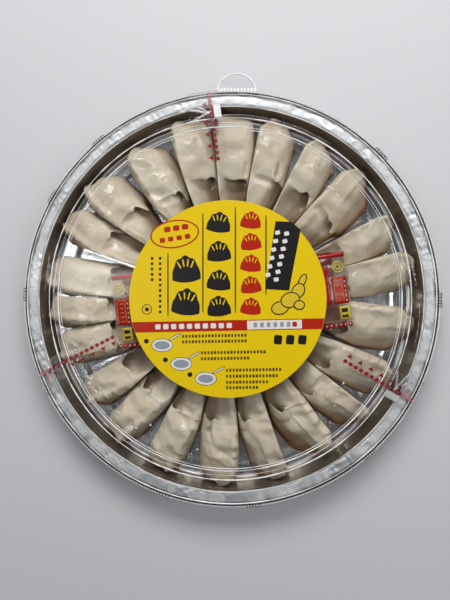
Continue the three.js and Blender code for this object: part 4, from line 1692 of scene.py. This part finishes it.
@dataclass
class Studio:
    """The camera at the photograph's place, a pale floor and soft light from above.

    Attributes:
        eye: The camera's place in millimetres.
        tilt: Its tilt about the pack's +Y, in degrees.
        lens: Its focal length, on a sensor 36 mm wide.
        sky: The world's strength near the horizon.
        zenith: Its strength overhead.
        side: Half the floor's side, in metres.
        sunk: How far the floor lies under the pack, in metres.
    """

    eye: tuple[float, float, float] = (12.857, -0.64, 305.384)
    tilt: float = 2.9
    lens: float = 36.0
    sky: float = 0.125
    zenith: float = 0.06
    side: float = 3.0
    sunk: float = 0.0002

    def camera(self) -> None:
        """Looks down, tilted a little about the pack's own +Y."""
        data = bpy.data.cameras.new("camera")
        data.sensor_width = 36.0
        data.sensor_fit = "HORIZONTAL"
        data.lens = self.lens
        data.clip_start, data.clip_end = 0.01, 20.0
        camera = bpy.data.objects.new("camera", data)
        bpy.context.scene.collection.objects.link(camera)
        angle = math.radians(self.tilt)
        back = Vector((math.sin(angle), 0, math.cos(angle)))
        right = Vector((0, 1, 0)).cross(back).normalized()
        above = back.cross(right)
        turn = Matrix((right, above, back)).transposed().to_4x4()
        camera.matrix_world = Matrix.Translation(Vector(self.eye) * MM) @ turn
        bpy.context.scene.camera = camera

    def area(self, name: str, place: tuple, aim: tuple, size: tuple, power: float, colour: Colour) -> None:
        """One flat soft light.

        Args:
            name: The light's name.
            place: Where it hangs, in metres.
            aim: What it faces.
            size: Its two sides.
            power: Its power in watts.
            colour: Its colour.
        """
        data = bpy.data.lights.new(name, "AREA")
        data.shape, data.energy, data.color = "RECTANGLE", power, colour
        data.size, data.size_y = size
        light = bpy.data.objects.new(name, data)
        bpy.context.scene.collection.objects.link(light)
        light.location = place
        light.rotation_euler = (Vector(aim) - Vector(place)).to_track_quat("-Z", "Y").to_euler()

    def build(self) -> None:
        """Sets up the world, the floor, the lights and the camera."""
        world = bpy.data.worlds.new("studio")
        world.use_nodes = True
        tree = world.node_tree
        way = tree.nodes.new("ShaderNodeTexCoord").outputs["Generated"]
        split = tree.nodes.new("ShaderNodeSeparateXYZ")
        band = tree.nodes.new("ShaderNodeMapRange")
        band.inputs[1].default_value, band.inputs[2].default_value = 0.98, 0.5
        band.inputs[3].default_value, band.inputs[4].default_value = self.zenith, self.sky
        background = tree.nodes["Background"]
        background.inputs["Color"].default_value = (0.90, 0.94, 1.0, 1.0)
        tree.links.new(way, split.inputs[0])
        tree.links.new(split.outputs["Z"], band.inputs[0])
        tree.links.new(band.outputs[0], background.inputs["Strength"])
        bpy.context.scene.world = world
        bpy.context.scene.view_settings.view_transform = "Standard"
        mesh = bpy.data.meshes.new("floor")
        corners = [(-1, -1), (1, -1), (1, 1), (-1, 1)]
        points = [(self.side * x, self.side * y, -self.sunk) for x, y in corners]
        mesh.from_pydata(points, [], [(0, 1, 2, 3)])
        mesh.materials.append(Ink("floor_pale", linear(216, 217, 222), 0.6).make())
        floor = bpy.data.objects.new("floor", mesh)
        bpy.context.scene.collection.objects.link(floor)
        self.area("light_key", (0.04, 0.75, 0.66), (0, 0.03, 0), (0.8, 0.36), 7.9, (1.0, 0.985, 0.96))
        self.area("light_strip", (-0.75, 0.1, 1.2), (0, 0, 0), (0.1, 1.0), 3.0, (1.0, 0.99, 0.97))
        self.area("light_side", (0.9, 0.15, 0.9), (0.1, 0, 0), (0.1, 0.8), 2.9, (1.0, 0.99, 0.97))
        self.area("light_low", (0.65, -0.6, 1.0), (0, 0, 0), (0.5, 0.1), 0.3, (0.96, 0.98, 1.0))
        self.camera()


def main() -> None:
    """Builds every part of the pack over the frame, and the studio round it."""
    logging.basicConfig(level=logging.INFO, format="%(name)s %(message)s")
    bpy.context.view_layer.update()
    Tray().build()
    DumplingRing().build()
    Lid().build()
    Label().build()
    clear = ClearPlastic(name="tape_film", tint=(0.985, 0.98, 0.98), roughness=0.12, facing=0.2, edge=0.4)
    film, red = clear.make(), TapeInk().make()
    Tape("tape_back", 84.9, 96.2, 98.3, seed=21).build(film, red)
    Tape("tape_left", 73.3, 201.5, 206.8, glare=0.15, seed=22).build(film, red)
    Tape("tape_right", 80.2, 335.2, 329.2, seed=23).build(film, red)
    sauce = SachetFilm().make()
    inks = {
        "red": Ink("sachet_red", linear(166, 26, 22), 0.2).make(),
        "orange": Ink("sachet_orange", linear(206, 96, 40), 0.2).make(),
        "yellow": Ink("sachet_yellow", linear(208, 186, 60), 0.2).make(),
        "dark": Ink("sachet_dark", linear(40, 30, 26), 0.2).make(),
        "pale": Ink("sachet_pale", linear(226, 206, 196), 0.2).make(),
    }
    Sachet("sachet_left", -50.4, -4.0, 6.0, seed=3).build(sauce, inks)
    Sachet("sachet_right", 53.9, 6.0, 8.0, seed=4).build(sauce, inks)
    Studio().build()


if __name__ == "__main__":
    main()
